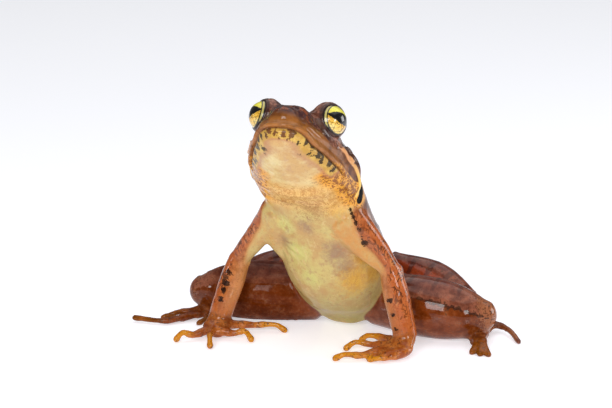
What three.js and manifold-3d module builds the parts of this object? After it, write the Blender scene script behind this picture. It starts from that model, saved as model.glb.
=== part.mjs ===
// A common frog, life size, sitting up on its front legs with its thighs spread and its shanks folded back.
// Millimetres, +Z up. The frog faces -Y and its left side is +X. The origin is on the floor under the rump.

import * as THREE from 'three';
import { mergeVertices } from 'three/addons/utils/BufferGeometryUtils.js';
import Module from 'manifold-3d';

const wasm = await Module();
wasm.setup();

// ---------------------------------------------------------------- driving dimensions

const GAP = 0.32; // clear space between neighbouring parts
const FLOOR_REACH = 90; // half size of the block that cuts the floor flats
const WIDE = 40; // more than the head's size in any direction
const WELD = 1e-4; // points closer than this are one point

// The head's own frame has its origin in the neck, the snout towards -Y and the crown towards +Z.
const NECK = [-0.15, -25.2, 43.1];
const HEAD_PITCH = 38; // degrees that the snout is lifted
const HEAD_TURN = 12; // degrees that the snout is turned to the frog's left
const HEAD_ROLL = 1.5; // degrees that the head's left side is lowered
const HEAD_BACK = 3.2; // the head starts this far behind the neck
const HEAD_DOMES = { start: 2.0, end: 1.5 };
const HEAD_SQUARENESS = 2.3;

// Head rows: forward of the neck, level of the widest line, half width, height above it, depth below it.
const HEAD_ROWS = [
  [-6.0, 0.0, 12.0, 5.8, 8.2],
  [-2.0, 0.2, 12.4, 6.4, 8.0],
  [3.0, 0.2, 12.0, 7.0, 7.6],
  [8.0, -0.4, 10.7, 7.7, 6.6],
  [13.0, -1.0, 9.0, 8.3, 5.4],
  [17.0, -1.4, 7.5, 7.9, 4.4],
  [20.5, -1.7, 6.0, 7.0, 3.5],
  [23.2, -1.9, 4.3, 5.8, 2.8],
];

const MOUTH = { level: -2.9, corner: 3.0, slit: 0.4, depth: 0.6 };
const LIP = { raise: 0.28, height: 1.3 };

const EYE = { side: 7.1, forward: 13.0, up: 5.9, radius: 3.8 };
const LID_THICKNESS = 0.5;
const LID_OPENING = { turn: 54, lift: 2, wide: 60, high: 57, reach: 8 }; // angles in degrees
const BROW = { inward: 1.7, back: 1.3, down: 1.3, radii: [4.8, 5.4, 4.4] }; // from the eye's middle
const NOSTRIL = { side: 2.0, forward: 22.1, up: 3.8, radius: 0.5, rim: 0.4 };
const NOSTRIL_MOUTH = { outward: 0.5, ahead: 0.3, above: 0.6 }; // from the middle of the nostril's rim
const EARDRUM = { side: 10.5, forward: 5.2, up: 2.2, radius: 1.9, thickness: 0.6 };

// Trunk rows on the middle plane, rump to neck: y, z, half width, height of the back, depth of the belly.
const TRUNK_ROWS = [
  [-1.6, 3.8, 7.4, 5.4, 5.8],
  [-2.8, 8.6, 10.8, 7.2, 9.4],
  [-5.4, 15.2, 12.4, 8.6, 11.8],
  [-10.4, 22.8, 13.0, 8.0, 11.8],
  [-15.0, 29.6, 12.3, 6.9, 9.8],
  [-19.0, 35.4, 12.1, 6.8, 8.5],
  [-22.6, 40.6, 12.1, 6.5, 7.9],
  [-28.0, 44.8, 12.0, 6.2, 7.8],
];
const TRUNK_DOMES = { start: 3.2, end: 1.0 };
const TRUNK_SQUARENESS = 2.1;
const TRUNK_UP = [0, 1, 0.6]; // the way the back faces
const RUMP = { centre: [0, 0.4, 2.3], radii: [4.6, 3.6, 2.8] }; // its flat underside is the seat

// Front legs: shoulder, elbow and wrist.
const ARMS = {
  left: { shoulder: [8.4, -20.8, 33.0], elbow: [17.5, -16.2, 19.4], wrist: [21.9, -17.0, 4.2] },
  right: { shoulder: [-9.4, -21.4, 31.6], elbow: [-20.2, -19.6, 18.4], wrist: [-24.2, -22.6, 4.0] },
};
const FORWARD_UP = [0, 1, 0];
const UPPER_ARM = { widths: [4.0, 2.9, 2.5, 2.3], start: 2.0, end: 2.4, up: FORWARD_UP, rings: 6, sides: 12 };
const FOREARM = { widths: [2.5, 2.9, 2.9, 2.7], start: 1.2, end: 1.4, up: FORWARD_UP, rings: 6, sides: 12 };

// Hands: the middle of the palm and its front, and for each finger its root, joint, knuckle and tip.
const HANDS = {
  left: {
    palm: [21.4, -20.6, 2.0],
    front: [18.6, -23.6, 1.6],
    fingers: [
      [[18.4, -16.6, 2.4], [14.6, -14.7, 2.2], [11.4, -15.2, 2.2], [9.7, -14.8, 0.65]],
      [[18.6, -19.4, 2.3], [14.6, -19.7, 1.9], [10.8, -20.6, 2.2], [8.8, -21.7, 0.65]],
      [[19.2, -21.4, 2.2], [14.8, -26.0, 1.4], [11.5, -28.3, 1.8], [9.4, -28.9, 0.65]],
      [[23.0, -20.8, 1.6], [21.8, -23.4, 1.4], [19.2, -25.8, 1.3], [16.6, -25.9, 0.65]],
    ],
  },
  right: {
    palm: [-23.4, -25.6, 2.2],
    front: [-22.4, -27.6, 1.8],
    fingers: [
      [[-24.9, -27.9, 1.9], [-27.0, -31.0, 1.4], [-28.7, -32.6, 2.3], [-29.8, -33.9, 0.65]],
      [[-23.4, -28.0, 2.1], [-22.4, -30.4, 2.2], [-21.3, -32.6, 2.2], [-20.2, -34.4, 0.65]],
      [[-21.6, -26.9, 2.1], [-18.4, -26.4, 1.7], [-15.8, -25.4, 2.3], [-13.7, -26.0, 0.65]],
      [[-21.2, -22.6, 2.3], [-16.8, -18.7, 1.7], [-12.0, -16.9, 1.9], [-9.7, -16.4, 0.65]],
    ],
  },
};
// Half width, height and depth of the hand at the wrist, below it, in the palm and at its front.
const PALM_ROWS = [[2.7, 2.0, 2.1], [3.0, 1.7, 2.2], [3.4, 1.35, 2.1], [2.2, 0.9, 1.5]];
const PALM = { start: 0.5, end: 1.0, up: [0, 0.3, 1], rings: 5, sides: 12 };
const UPRIGHT = [0, 0, 1];
const DIGIT_ENDS = { start: 0.8, end: 0.7, up: UPRIGHT, rings: 7, sides: 7, dome: 2 };
const FINGER = { widths: [1.5, 1.15, 0.85, 0.68, 0.76], ...DIGIT_ENDS };

// Hind legs: hip to knee, knee to heel, and heel to the ball of the foot.
const LEGS = {
  left: {
    thigh: [[8.0, 0.2, 6.4], [21.0, -2.0, 6.9], [29.6, -1.2, 6.3], [34.6, 0.4, 5.9]],
    shank: [[31.2, 4.4, 6.4], [20.0, 8.2, 10.2], [7.6, 10.0, 13.0]],
    tarsus: [[7.4, 11.2, 10.2], [19.0, 11.8, 4.4], [27.0, 10.0, 2.4]],
  },
  right: {
    thigh: [[-8.0, -2.8, 6.4], [-20.6, -8.0, 7.0], [-29.8, -9.8, 6.2], [-35.8, -10.8, 5.6]],
    shank: [[-33.6, -7.0, 6.0], [-21.6, 0.4, 10.2], [-8.6, 6.4, 13.4]],
    tarsus: [[-8.6, 9.0, 10.2], [-19.0, 5.0, 4.4], [-27.0, -0.4, 2.4]],
  },
};
const THIGH = { widths: [6.6, 7.4, 6.3, 3.7], start: 3.0, end: 3.2, up: UPRIGHT, rings: 12, sides: 16 };
const SHANK = { widths: [2.6, 4.6, 2.8], start: 1.6, end: 2.0, up: UPRIGHT, rings: 12, sides: 16 };
const TARSUS = { widths: [2.4, 2.0, 2.1], start: 1.0, end: 1.4, up: UPRIGHT, rings: 7, sides: 10 };

// Feet: the middle of the sole, and for each toe its root, bend and tip, inner toe first.
const FEET = {
  left: {
    sole: [32.0, 5.0, 1.9],
    toes: [
      [[31.8, -0.8, 1.3], [32.8, -3.0, 1.5], [34.2, -4.8, 0.5]],
      [[33.0, -1.2, 1.4], [35.4, -6.6, 1.7], [35.9, -10.8, 0.45]],
      [[34.0, -1.0, 1.5], [36.3, -6.6, 1.8], [38.0, -11.2, 0.45]],
      [[35.0, -0.6, 1.5], [37.2, -6.2, 1.8], [39.9, -10.7, 0.45]],
      [[35.0, 7.4, 1.7], [39.4, 5.4, 1.5], [43.4, 0.9, 0.5]],
    ],
  },
  right: {
    sole: [-32.0, -9.0, 1.9],
    toes: [
      [[-31.0, -14.0, 1.2], [-30.4, -17.6, 1.3], [-31.4, -20.6, 0.45]],
      [[-32.2, -14.6, 1.3], [-34.4, -18.6, 1.3], [-36.8, -20.0, 0.45]],
      [[-33.0, -15.0, 1.4], [-36.4, -20.2, 1.3], [-40.2, -22.0, 0.45]],
      [[-33.8, -15.8, 1.6], [-38.4, -23.4, 1.0], [-46.8, -25.4, 1.1]],
      [[-35.2, -14.2, 1.5], [-38.4, -18.4, 1.7], [-41.6, -20.6, 0.5]],
    ],
  },
};
// Half width, height and depth of the foot at its ball, in the sole and at the toes' roots.
const SOLE_ROWS = [[2.2, 1.8, 1.9], [2.6, 1.5, 2.0], [3.0, 1.0, 1.5]];
const SOLE = { start: 0.5, end: 1.0, up: UPRIGHT, rings: 7, sides: 12 };
const TOE = { widths: [1.2, 0.95, 0.72, 0.7], ...DIGIT_ENDS };

// The web fills this share of the toes' length, less where the tips stand further apart than its spread.
const WEB = { reach: 0.55, spread: 5.0, hollow: 0.45, thickness: 0.6, steps: 5, across: 3 };

const SKIN_BROWN = { color: 0x8a4a22, roughness: 0.4 };
const SKIN_ORANGE = { color: 0xb5602a, roughness: 0.4 };
const BELLY_YELLOW = { color: 0xd8cf8a, roughness: 0.45 };
const EYE_GOLD = { color: 0xc9b23a, roughness: 0.1 };

// ---------------------------------------------------------------- surfaces

// Value and slope of a smooth cubic through rows of numbers, each held at its own knot.
function rowAt(rows, knots, s) {
  let i = 0;
  while (i < rows.length - 2 && s > knots[i + 1]) i += 1;
  const span = knots[i + 1] - knots[i];
  const u = (s - knots[i]) / span;
  const slope = (k, c) => {
    const before = Math.max(k - 1, 0);
    const after = Math.min(k + 1, rows.length - 1);
    return (rows[after][c] - rows[before][c]) / (knots[after] - knots[before]);
  };
  const value = [];
  const change = [];
  rows[i].forEach((p0, c) => {
    const p1 = rows[i + 1][c];
    const m0 = slope(i, c) * span;
    const m1 = slope(i + 1, c) * span;
    const a = 2 * p0 - 2 * p1 + m0 + m1;
    const b = 3 * p1 - 3 * p0 - 2 * m0 - m1;
    value.push(((a * u + b) * u + m0) * u + p0);
    change.push((3 * a * u * u + 2 * b * u + m0) / span);
  });
  return { value, change };
}

// Where a loft's rings lie: s along its line, and how far (0 to 1) into the dome at either end.
function ringPlaces(total, rings, domeRings) {
  const depths = Array.from({ length: domeRings }, (_, k) => Math.cos((k / domeRings) * Math.PI / 2));
  const startDome = depths.map((depth) => ({ s: 0, into: -depth }));
  const body = Array.from({ length: rings + 1 }, (_, k) => ({ s: (total * k) / rings, into: 0 }));
  const endDome = depths.map((depth) => ({ s: total, into: depth })).reverse();
  return [...startDome, ...body, ...endDome];
}

// Faces of a closed surface made of rings with the same number of points, between two end points.
function ringFaces(rings, sides) {
  const last = rings * sides + 1;
  const at = (ring, j) => 1 + ring * sides + (j % sides);
  const faces = [];
  for (let j = 0; j < sides; j += 1) {
    faces.push(0, at(0, j + 1), at(0, j));
    for (let i = 0; i < rings - 1; i += 1) {
      faces.push(at(i, j), at(i, j + 1), at(i + 1, j + 1));
      faces.push(at(i, j), at(i + 1, j + 1), at(i + 1, j));
    }
    faces.push(last, at(rings - 1, j), at(rings - 1, j + 1));
  }
  return faces;
}

function indexed(positions, faces) {
  const geometry = new THREE.BufferGeometry();
  geometry.setAttribute('position', new THREE.Float32BufferAttribute(positions, 3));
  geometry.setIndex(faces);
  return geometry;
}

// A closed body of rounded sections. Each row is x, y, z, half width, height and depth of one section;
// `up` says which way its height points, and the ends are closed by domes of length start and end.
function loft({ rows, up, rings, sides, start, end, dome = 3, squareness = 2, grow = 0 }) {
  const knots = [0];
  for (let i = 1; i < rows.length; i += 1) {
    knots.push(knots[i - 1] + Math.hypot(...[0, 1, 2].map((c) => rows[i][c] - rows[i - 1][c])));
  }
  const upward = new THREE.Vector3(...up);
  const places = ringPlaces(knots[knots.length - 1], rings, dome);
  const round = (t) => Math.sign(t) * Math.abs(t) ** (2 / squareness);
  const positions = [];
  for (const { s, into } of places) {
    const { value, change } = rowAt(rows, knots, s);
    const forward = new THREE.Vector3(...change.slice(0, 3)).normalize();
    const across = new THREE.Vector3().crossVectors(upward, forward).normalize();
    const above = new THREE.Vector3().crossVectors(forward, across);
    const domeLength = (into < 0 ? start : end) + grow;
    const centre = new THREE.Vector3(...value.slice(0, 3)).addScaledVector(forward, into * domeLength);
    if (Math.abs(into) === 1) {
      positions.push(...centre);
      continue;
    }
    const [side, height, depth] = value.slice(3).map((size) => (size + grow) * Math.sqrt(1 - into * into));
    for (let j = 0; j < sides; j += 1) {
      const angle = (2 * Math.PI * j) / sides;
      const tall = Math.sin(angle) > 0 ? height : depth;
      const point = centre.clone().addScaledVector(across, round(Math.cos(angle)) * side);
      positions.push(...point.addScaledVector(above, round(Math.sin(angle)) * tall));
    }
  }
  return indexed(positions, ringFaces(places.length - 2, sides));
}

// Rows of round sections along a line of points, with half widths that may differ in number from them.
function limbRows(line, widths) {
  const evenly = (list) => list.map((_, i) => i / (list.length - 1));
  const count = Math.max(line.length, widths.length);
  return Array.from({ length: count }, (_, i) => {
    const u = i / (count - 1);
    const [width] = rowAt(widths.map((w) => [w]), evenly(widths), u).value;
    return [...rowAt(line, evenly(line), u).value, width, width, width];
  });
}

const limb = (line, form, grow = 0) => solid(loft({ ...form, rows: limbRows(line, form.widths), grow }));

// ---------------------------------------------------------------- solids

function solid(geometry) {
  const bare = geometry.clone();
  bare.deleteAttribute('normal');
  bare.deleteAttribute('uv');
  const merged = mergeVertices(bare, WELD);
  return new wasm.Manifold(
    new wasm.Mesh({
      numProp: 3,
      vertProperties: new Float32Array(merged.attributes.position.array),
      triVerts: new Uint32Array(merged.index.array),
    }),
  );
}

const join = (parts) => parts.reduce((whole, part) => whole.add(part));
const cut = (first, ...others) => others.reduce((whole, part) => whole.subtract(part), first);

// The largest closed surface of a solid, as a mesh with its own material.
function mesh(name, whole, look) {
  const largest = whole.decompose().reduce((a, b) => (b.volume() > a.volume() ? b : a));
  const { vertProperties, triVerts } = largest.getMesh();
  const geometry = indexed(Array.from(vertProperties), Array.from(triVerts));
  geometry.computeVertexNormals();
  const made = new THREE.Mesh(geometry, new THREE.MeshStandardMaterial({ ...look, metalness: 0 }));
  made.name = name;
  return made;
}

// A block given by its lowest and highest corners.
function block(low, high) {
  const size = high.map((h, i) => h - low[i]);
  const middle = high.map((h, i) => (h + low[i]) / 2);
  return new THREE.BoxGeometry(...size).translate(...middle);
}

// A ball, stretched along its axes.
const ball = (centre, radii, columns = 16, rows = 10) =>
  new THREE.SphereGeometry(1, columns, rows).scale(...radii).translate(...centre);
const even = (radius) => [radius, radius, radius];

const floorBlock = solid(block([-FLOOR_REACH, -FLOOR_REACH, -FLOOR_REACH], [FLOOR_REACH, FLOOR_REACH, 0]));
const frog = new THREE.Group();

// ---------------------------------------------------------------- head, in its own frame

const headGroup = new THREE.Group();
headGroup.rotation.set(
  THREE.MathUtils.degToRad(-HEAD_PITCH),
  THREE.MathUtils.degToRad(HEAD_ROLL),
  THREE.MathUtils.degToRad(HEAD_TURN),
  'ZXY',
);
headGroup.position.set(...NECK);
headGroup.updateMatrixWorld();
frog.add(headGroup);

const headLoft = (grow) =>
  loft({
    ...HEAD_DOMES,
    rows: HEAD_ROWS.map(([forward, level, side, top, bottom]) => [0, -forward, level, side, top, bottom]),
    up: UPRIGHT,
    rings: 18,
    sides: 28,
    squareness: HEAD_SQUARENESS,
    grow,
  });

// The flat slice of space ahead of the mouth's corners, within `reach` of its level.
const mouthSlice = (reach) =>
  solid(block([-WIDE, -WIDE, MOUTH.level - reach], [WIDE, -MOUTH.corner, MOUTH.level + reach]));

const eyeCentre = (side) => [side * EYE.side, -EYE.forward, EYE.up];

// The opening between the lids: a cone that widens from the eyeball's middle towards where the eye looks.
function lidOpening(side) {
  const { reach } = LID_OPENING;
  const wide = reach * Math.tan(THREE.MathUtils.degToRad(LID_OPENING.wide));
  const high = reach * Math.tan(THREE.MathUtils.degToRad(LID_OPENING.high));
  const cone = new THREE.ConeGeometry(1, reach, 28, 1).rotateX(-Math.PI / 2).translate(0, 0, reach / 2);
  const down = Math.PI / 2 - THREE.MathUtils.degToRad(LID_OPENING.lift);
  const turn = THREE.MathUtils.degToRad(LID_OPENING.turn);
  const [x, z, y] = new THREE.Vector3().setFromSphericalCoords(1, down, side * turn);
  const look = new THREE.Matrix4().lookAt(new THREE.Vector3(x, -y, z), new THREE.Vector3(), headGroup.up);
  return cone.scale(wide, high, 1).applyMatrix4(look).translate(...eyeCentre(side));
}

function browOver(side) {
  const [x, y, z] = eyeCentre(side);
  return solid(ball([x - side * BROW.inward, y + BROW.back, z - BROW.down], BROW.radii));
}

function nostrilRim(side) {
  const centre = [side * NOSTRIL.side, -NOSTRIL.forward, NOSTRIL.up];
  return solid(ball(centre, even(NOSTRIL.radius + NOSTRIL.rim), 12, 8));
}

function nostrilHole(side) {
  const { outward, ahead, above } = NOSTRIL_MOUTH;
  const centre = [side * (NOSTRIL.side + outward), -NOSTRIL.forward - ahead, NOSTRIL.up + above];
  return solid(ball(centre, even(NOSTRIL.radius), 10, 6));
}

function eardrum(side) {
  const { radius, thickness } = EARDRUM;
  return solid(ball([side * EARDRUM.side, -EARDRUM.forward, EARDRUM.up], [thickness, radius, radius]));
}

function buildHead() {
  const lips = solid(headLoft(LIP.raise)).intersect(mouthSlice(LIP.height));
  const slit = cut(mouthSlice(MOUTH.slit / 2), solid(headLoft(-MOUTH.depth)));
  let head = cut(solid(headLoft(0)).add(lips), slit);
  for (const side of [1, -1]) {
    const lid = solid(ball(eyeCentre(side), even(EYE.radius + LID_THICKNESS)));
    head = join([head, lid, browOver(side), nostrilRim(side), eardrum(side)]);
  }
  for (const side of [1, -1]) {
    const socket = solid(ball(eyeCentre(side), even(EYE.radius + GAP)));
    head = cut(head, socket, solid(lidOpening(side)), nostrilHole(side));
  }
  return cut(head, solid(block([-WIDE, HEAD_BACK, -WIDE], even(WIDE))));
}

headGroup.add(mesh('head', buildHead(), SKIN_BROWN));
headGroup.add(mesh('eye_left', solid(ball(eyeCentre(1), even(EYE.radius), 20, 12)), EYE_GOLD));
headGroup.add(mesh('eye_right', solid(ball(eyeCentre(-1), even(EYE.radius), 20, 12)), EYE_GOLD));

const headGrown = solid(headLoft(LIP.raise + GAP).applyMatrix4(headGroup.matrixWorld));
const headSide = solid(block(even(-WIDE), [WIDE, HEAD_BACK + GAP, WIDE]).applyMatrix4(headGroup.matrixWorld));

// ---------------------------------------------------------------- trunk

const trunkSolid = (grow) =>
  solid(
    loft({
      ...TRUNK_DOMES,
      rows: TRUNK_ROWS.map(([y, z, side, back, belly]) => [0, y, z, side, back, belly]),
      up: TRUNK_UP,
      rings: 20,
      sides: 26,
      dome: 5,
      squareness: TRUNK_SQUARENESS,
      grow,
    }),
  ).add(solid(ball(RUMP.centre, RUMP.radii.map((radius) => radius + grow))));

frog.add(mesh('trunk', cut(trunkSolid(0), headSide, floorBlock), BELLY_YELLOW));
const trunkGrown = trunkSolid(GAP);

// ---------------------------------------------------------------- front legs

const between = (a, b) => a.map((p, i) => (p + b[i]) / 2);

// A hand or foot: its pad along three points, and its digits spread from `fan`.
function fan(points, sections, padForm, root, digits, digitForm) {
  const pad = solid(loft({ ...padForm, rows: points.map((point, i) => [...point, ...sections[i]]) }));
  return join([pad, ...digits.map((digit) => limb([root, ...digit], digitForm))]);
}

for (const name of ['left', 'right']) {
  const { shoulder, elbow, wrist } = ARMS[name];
  const { palm, front, fingers } = HANDS[name];
  const upperArm = cut(limb([shoulder, elbow], UPPER_ARM), trunkGrown, headGrown);
  const forearm = cut(limb([elbow, wrist], FOREARM), limb([shoulder, elbow], UPPER_ARM, GAP), trunkGrown);
  const hand = fan([wrist, between(wrist, palm), palm, front], PALM_ROWS, PALM, palm, fingers, FINGER);
  frog.add(mesh(`upper_arm_${name}`, upperArm, SKIN_ORANGE));
  frog.add(mesh(`forearm_${name}`, forearm, SKIN_ORANGE));
  frog.add(mesh(`hand_${name}`, cut(hand, limb([elbow, wrist], FOREARM, GAP), floorBlock), SKIN_ORANGE));
}

// ---------------------------------------------------------------- hind legs

// A web between two toes, the second on the +X side of the first: a thin plate with a hollow free edge.
function web(toeA, toeB) {
  const apart = Math.hypot(...toeA[2].map((p, i) => p - toeB[2][i]));
  const reach = WEB.reach * Math.min(1, WEB.spread / apart);
  const onToe = (toe, along) => rowAt(toe, [0, 0.5, 1], along).value;
  const positions = [];
  for (const offset of [WEB.thickness / 2, -WEB.thickness / 2]) {
    for (let i = 0; i <= WEB.steps; i += 1) {
      for (let j = 0; j <= WEB.across; j += 1) {
        const v = j / WEB.across;
        const along = (i / WEB.steps) * reach * (1 - WEB.hollow * Math.sin(Math.PI * v));
        const a = onToe(toeA, along);
        const b = onToe(toeB, along);
        const [x, y, z] = a.map((p, c) => p * (1 - v) + b[c] * v);
        positions.push(x, y, z + offset);
      }
    }
  }
  const at = (below, i, j) => (below * (WEB.steps + 1) + i) * (WEB.across + 1) + j;
  const faces = [];
  const quad = (a, b, c, d) => faces.push(a, b, c, a, c, d);
  for (let i = 0; i < WEB.steps; i += 1) {
    for (let j = 0; j < WEB.across; j += 1) {
      quad(at(0, i, j), at(0, i + 1, j), at(0, i + 1, j + 1), at(0, i, j + 1));
      quad(at(1, i + 1, j + 1), at(1, i + 1, j), at(1, i, j), at(1, i, j + 1));
    }
  }
  for (let i = 0; i < WEB.steps; i += 1) {
    quad(at(0, i, 0), at(1, i, 0), at(1, i + 1, 0), at(0, i + 1, 0));
    quad(at(0, i + 1, WEB.across), at(1, i + 1, WEB.across), at(1, i, WEB.across), at(0, i, WEB.across));
  }
  for (let j = 0; j < WEB.across; j += 1) {
    quad(at(0, 0, j + 1), at(1, 0, j + 1), at(1, 0, j), at(0, 0, j));
    quad(at(0, WEB.steps, j), at(1, WEB.steps, j), at(1, WEB.steps, j + 1), at(0, WEB.steps, j + 1));
  }
  return solid(indexed(positions, faces));
}

for (const name of ['left', 'right']) {
  const { thigh, shank, tarsus } = LEGS[name];
  const { sole, toes } = FEET[name];
  const thighGrown = limb(thigh, THIGH, GAP);
  const shankGrown = limb(shank, SHANK, GAP);
  const tarsusGrown = limb(tarsus, TARSUS, GAP);
  const shankCut = cut(limb(shank, SHANK), thighGrown, trunkGrown, floorBlock);
  const tarsusCut = cut(limb(tarsus, TARSUS), shankGrown, thighGrown, trunkGrown, floorBlock);
  frog.add(mesh(`thigh_${name}`, cut(limb(thigh, THIGH), trunkGrown, floorBlock), SKIN_ORANGE));
  frog.add(mesh(`shank_${name}`, shankCut, SKIN_BROWN));
  frog.add(mesh(`tarsus_${name}`, tarsusCut, SKIN_ORANGE));

  const toeRoots = between(toes[1][0], toes[2][0]);
  const pad = fan([tarsus[2], sole, toeRoots], SOLE_ROWS, SOLE, sole, toes, TOE);
  const inner = toes.slice(0, -1);
  const webs = inner.map((toe, i) => (name === 'left' ? web(toe, toes[i + 1]) : web(toes[i + 1], toe)));
  const foot = cut(join([pad, ...webs]), tarsusGrown, shankGrown, thighGrown, trunkGrown, floorBlock);
  frog.add(mesh(`foot_${name}`, foot, SKIN_ORANGE));
}

export default frog;
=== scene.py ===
"""A common frog, life size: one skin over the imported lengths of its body, and its two eyes."""
import math

import bpy
import numpy as np
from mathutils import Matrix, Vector


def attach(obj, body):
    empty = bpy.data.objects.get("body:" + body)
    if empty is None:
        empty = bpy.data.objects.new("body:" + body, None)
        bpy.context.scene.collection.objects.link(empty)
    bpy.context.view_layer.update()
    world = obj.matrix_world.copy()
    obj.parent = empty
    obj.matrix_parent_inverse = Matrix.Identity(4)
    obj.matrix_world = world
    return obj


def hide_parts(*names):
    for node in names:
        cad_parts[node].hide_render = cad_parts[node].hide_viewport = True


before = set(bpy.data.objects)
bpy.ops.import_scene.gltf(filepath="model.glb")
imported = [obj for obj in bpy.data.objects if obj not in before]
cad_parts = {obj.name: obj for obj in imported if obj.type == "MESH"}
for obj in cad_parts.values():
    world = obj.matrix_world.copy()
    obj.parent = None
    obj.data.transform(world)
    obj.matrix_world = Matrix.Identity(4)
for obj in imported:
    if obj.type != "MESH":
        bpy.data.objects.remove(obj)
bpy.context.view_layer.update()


# ======================================================================= Skin
# A frog's skin is one thin wet sheet, loose over the muscles and tight over the fingers and toes. It is
# smooth above and finely grained below. Here the flesh under it is laid out length by length in
# millimetres, wrapped in one surface, and folded, grained and coloured from head to toes.

MM = 0.001


def eased(rows, knots, s):
    """Value and slope, at the places s, of a smooth cubic through rows of numbers held at their knots.

    At a knot the slope is that of the chord between its neighbours. Between two knots the two values
    and two slopes fix the cubic ((a u + b) u + m0) u + p0, with u from 0 to 1."""
    rows, knots, s = np.asarray(rows, float), np.asarray(knots, float), np.asarray(s, float)
    here = np.arange(len(rows))
    before, after = np.maximum(here - 1, 0), np.minimum(here + 1, len(rows) - 1)
    slopes = (rows[after] - rows[before]) / (knots[after] - knots[before])[:, None]
    i = np.clip(np.searchsorted(knots, s, side="right") - 1, 0, len(rows) - 2)
    span = (knots[i + 1] - knots[i])[:, None]
    u = (s - knots[i])[:, None] / span
    p0, p1, m0, m1 = rows[i], rows[i + 1], slopes[i] * span, slopes[i + 1] * span
    a, b = 2 * p0 - 2 * p1 + m0 + m1, 3 * p1 - 3 * p0 - 2 * m0 - m1
    return ((a * u + b) * u + m0) * u + p0, (3 * a * u * u + 2 * b * u + m0) / span


def lengths(vectors):
    """Length of each vector."""
    return np.linalg.norm(vectors, axis=-1)


def unit(vectors):
    """Vectors divided by their lengths."""
    return vectors / lengths(vectors)[..., None]


def sections(rows, up, s):
    """Cross-sections at places s along rows of x, y, z, half width, height, depth.

    Each has a middle, a forward direction (the slope of the line of middles), an across direction
    (up x forward) and an above direction (forward x across), and its three sizes."""
    rows = np.asarray(rows, float)
    knots = np.concatenate([[0], np.cumsum(lengths(np.diff(rows[:, :3], axis=0)))])
    value, slope = eased(rows, knots, np.asarray(s) * knots[-1])
    forward = unit(slope[:, :3])
    across = unit(np.cross(np.broadcast_to(up, forward.shape), forward))
    return value[:, :3], forward, across, np.cross(forward, across), value[:, 3:], knots[-1]


def length_of_flesh(rows, up, start, end, rings=48, sides=56, squareness=2.0):
    """A closed length of flesh: sections whose outline is |x/width|^q + |z/height|^q = 1, drawn in to a
    point at both ends by quarter ellipses of lengths start and end."""
    turn = np.linspace(0, np.pi / 2, 9)[:-1]
    into = np.concatenate([-np.cos(turn), np.zeros(rings), np.cos(turn)[::-1]])
    s = np.concatenate([np.zeros(len(turn)), np.linspace(0, 1, rings), np.ones(len(turn))])
    middle, forward, across, above, size, _ = sections(rows, up, s)
    middle = middle + forward * (into * np.where(into < 0, start, end))[:, None]
    size = size * np.sqrt(np.maximum(1 - into**2, 0))[:, None]
    angle = np.arange(sides) * 2 * np.pi / sides
    x, z = (np.sign(t) * np.abs(t) ** (2 / squareness) for t in (np.cos(angle), np.sin(angle)))
    wide, tall = size[:, :1], np.where(z > 0, size[:, 1:2], size[:, 2:3])
    rim = middle[:, None] + across[:, None] * (x * wide)[..., None] + above[:, None] * (z * tall)[..., None]
    points = np.concatenate([middle[:1], rim[1:-1].reshape(-1, 3), middle[-1:]])
    return points, ring_faces(len(middle) - 2, sides)


def ring_faces(rings, sides):
    """Quads between neighbouring rings, and fans of triangles to a first and a last point."""
    ring, j = np.meshgrid(np.arange(rings - 1), np.arange(sides), indexing="ij")
    at = lambda i, k: 1 + i * sides + k % sides
    quads = np.stack([at(ring, j), at(ring, j + 1), at(ring + 1, j + 1), at(ring + 1, j)], -1).reshape(-1, 4)
    k, last = np.arange(sides), rings * sides + 1
    first_fan = np.stack([0 * k, at(0, k + 1), at(0, k)], -1)
    last_fan = np.stack([0 * k + last, at(rings - 1, k), at(rings - 1, k + 1)], -1)
    return quads.tolist() + first_fan.tolist() + last_fan.tolist()


def limb_rows(line, widths):
    """Rows of round sections along a line of points, with half widths that may differ in number from them."""
    count = np.linspace(0, 1, max(len(line), len(widths)))
    place = eased(line, np.linspace(0, 1, len(line)), count)[0]
    width = eased([[w] for w in widths], np.linspace(0, 1, len(widths)), count)[0]
    return np.hstack([place, width, width, width])


flesh = {}  # name of a length: its rows, up direction, end domes, squareness


def lay(name, rows, up, start, end, **form):
    flesh[name] = dict(rows=np.asarray(rows, float), up=up, start=start, end=end, **form)


# ---- The head, in its own frame: x to its left, y backwards, z to the crown, from the neck.

NECK = np.array([-0.15, -25.2, 43.1])
HEAD_PITCH, HEAD_ROLL, HEAD_TURN = 38.0, 1.5, 12.0
HEAD_ROWS = np.array([
    [-6.0, 0.0, 12.0, 5.8, 8.2],
    [-2.0, 0.2, 12.4, 6.4, 8.0],
    [3.0, 0.2, 12.0, 7.0, 7.6],
    [8.0, -0.4, 10.8, 7.6, 6.7],
    [13.0, -1.0, 9.2, 8.0, 5.6],
    [17.0, -1.4, 7.75, 7.7, 4.7],
    [20.0, -1.6, 6.5, 7.1, 4.0],
    [22.2, -1.8, 5.25, 6.2, 3.4],
    [23.6, -1.9, 4.0, 5.2, 2.8],
    [24.5, -2.0, 2.7, 4.0, 2.1],
    [24.85, -2.05, 1.5, 2.6, 1.3],
])
HEAD_START, HEAD_END, HEAD_SQUARENESS = 2.0, 0.12, 2.2
EYE_SIDE, EYE_FORWARD, EYE_UP, EYE_RADIUS = 7.1, 13.0, 5.9, 3.8
MOUTH_LEVEL = -2.9


def turned(axis, degrees):
    """Matrix that turns a point about one axis."""
    c, s = math.cos(math.radians(degrees)), math.sin(math.radians(degrees))
    i, j = (axis + 1) % 3, (axis + 2) % 3
    matrix = np.eye(3)
    matrix[i, i], matrix[i, j], matrix[j, i], matrix[j, j] = c, -s, s, c
    return matrix


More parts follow.
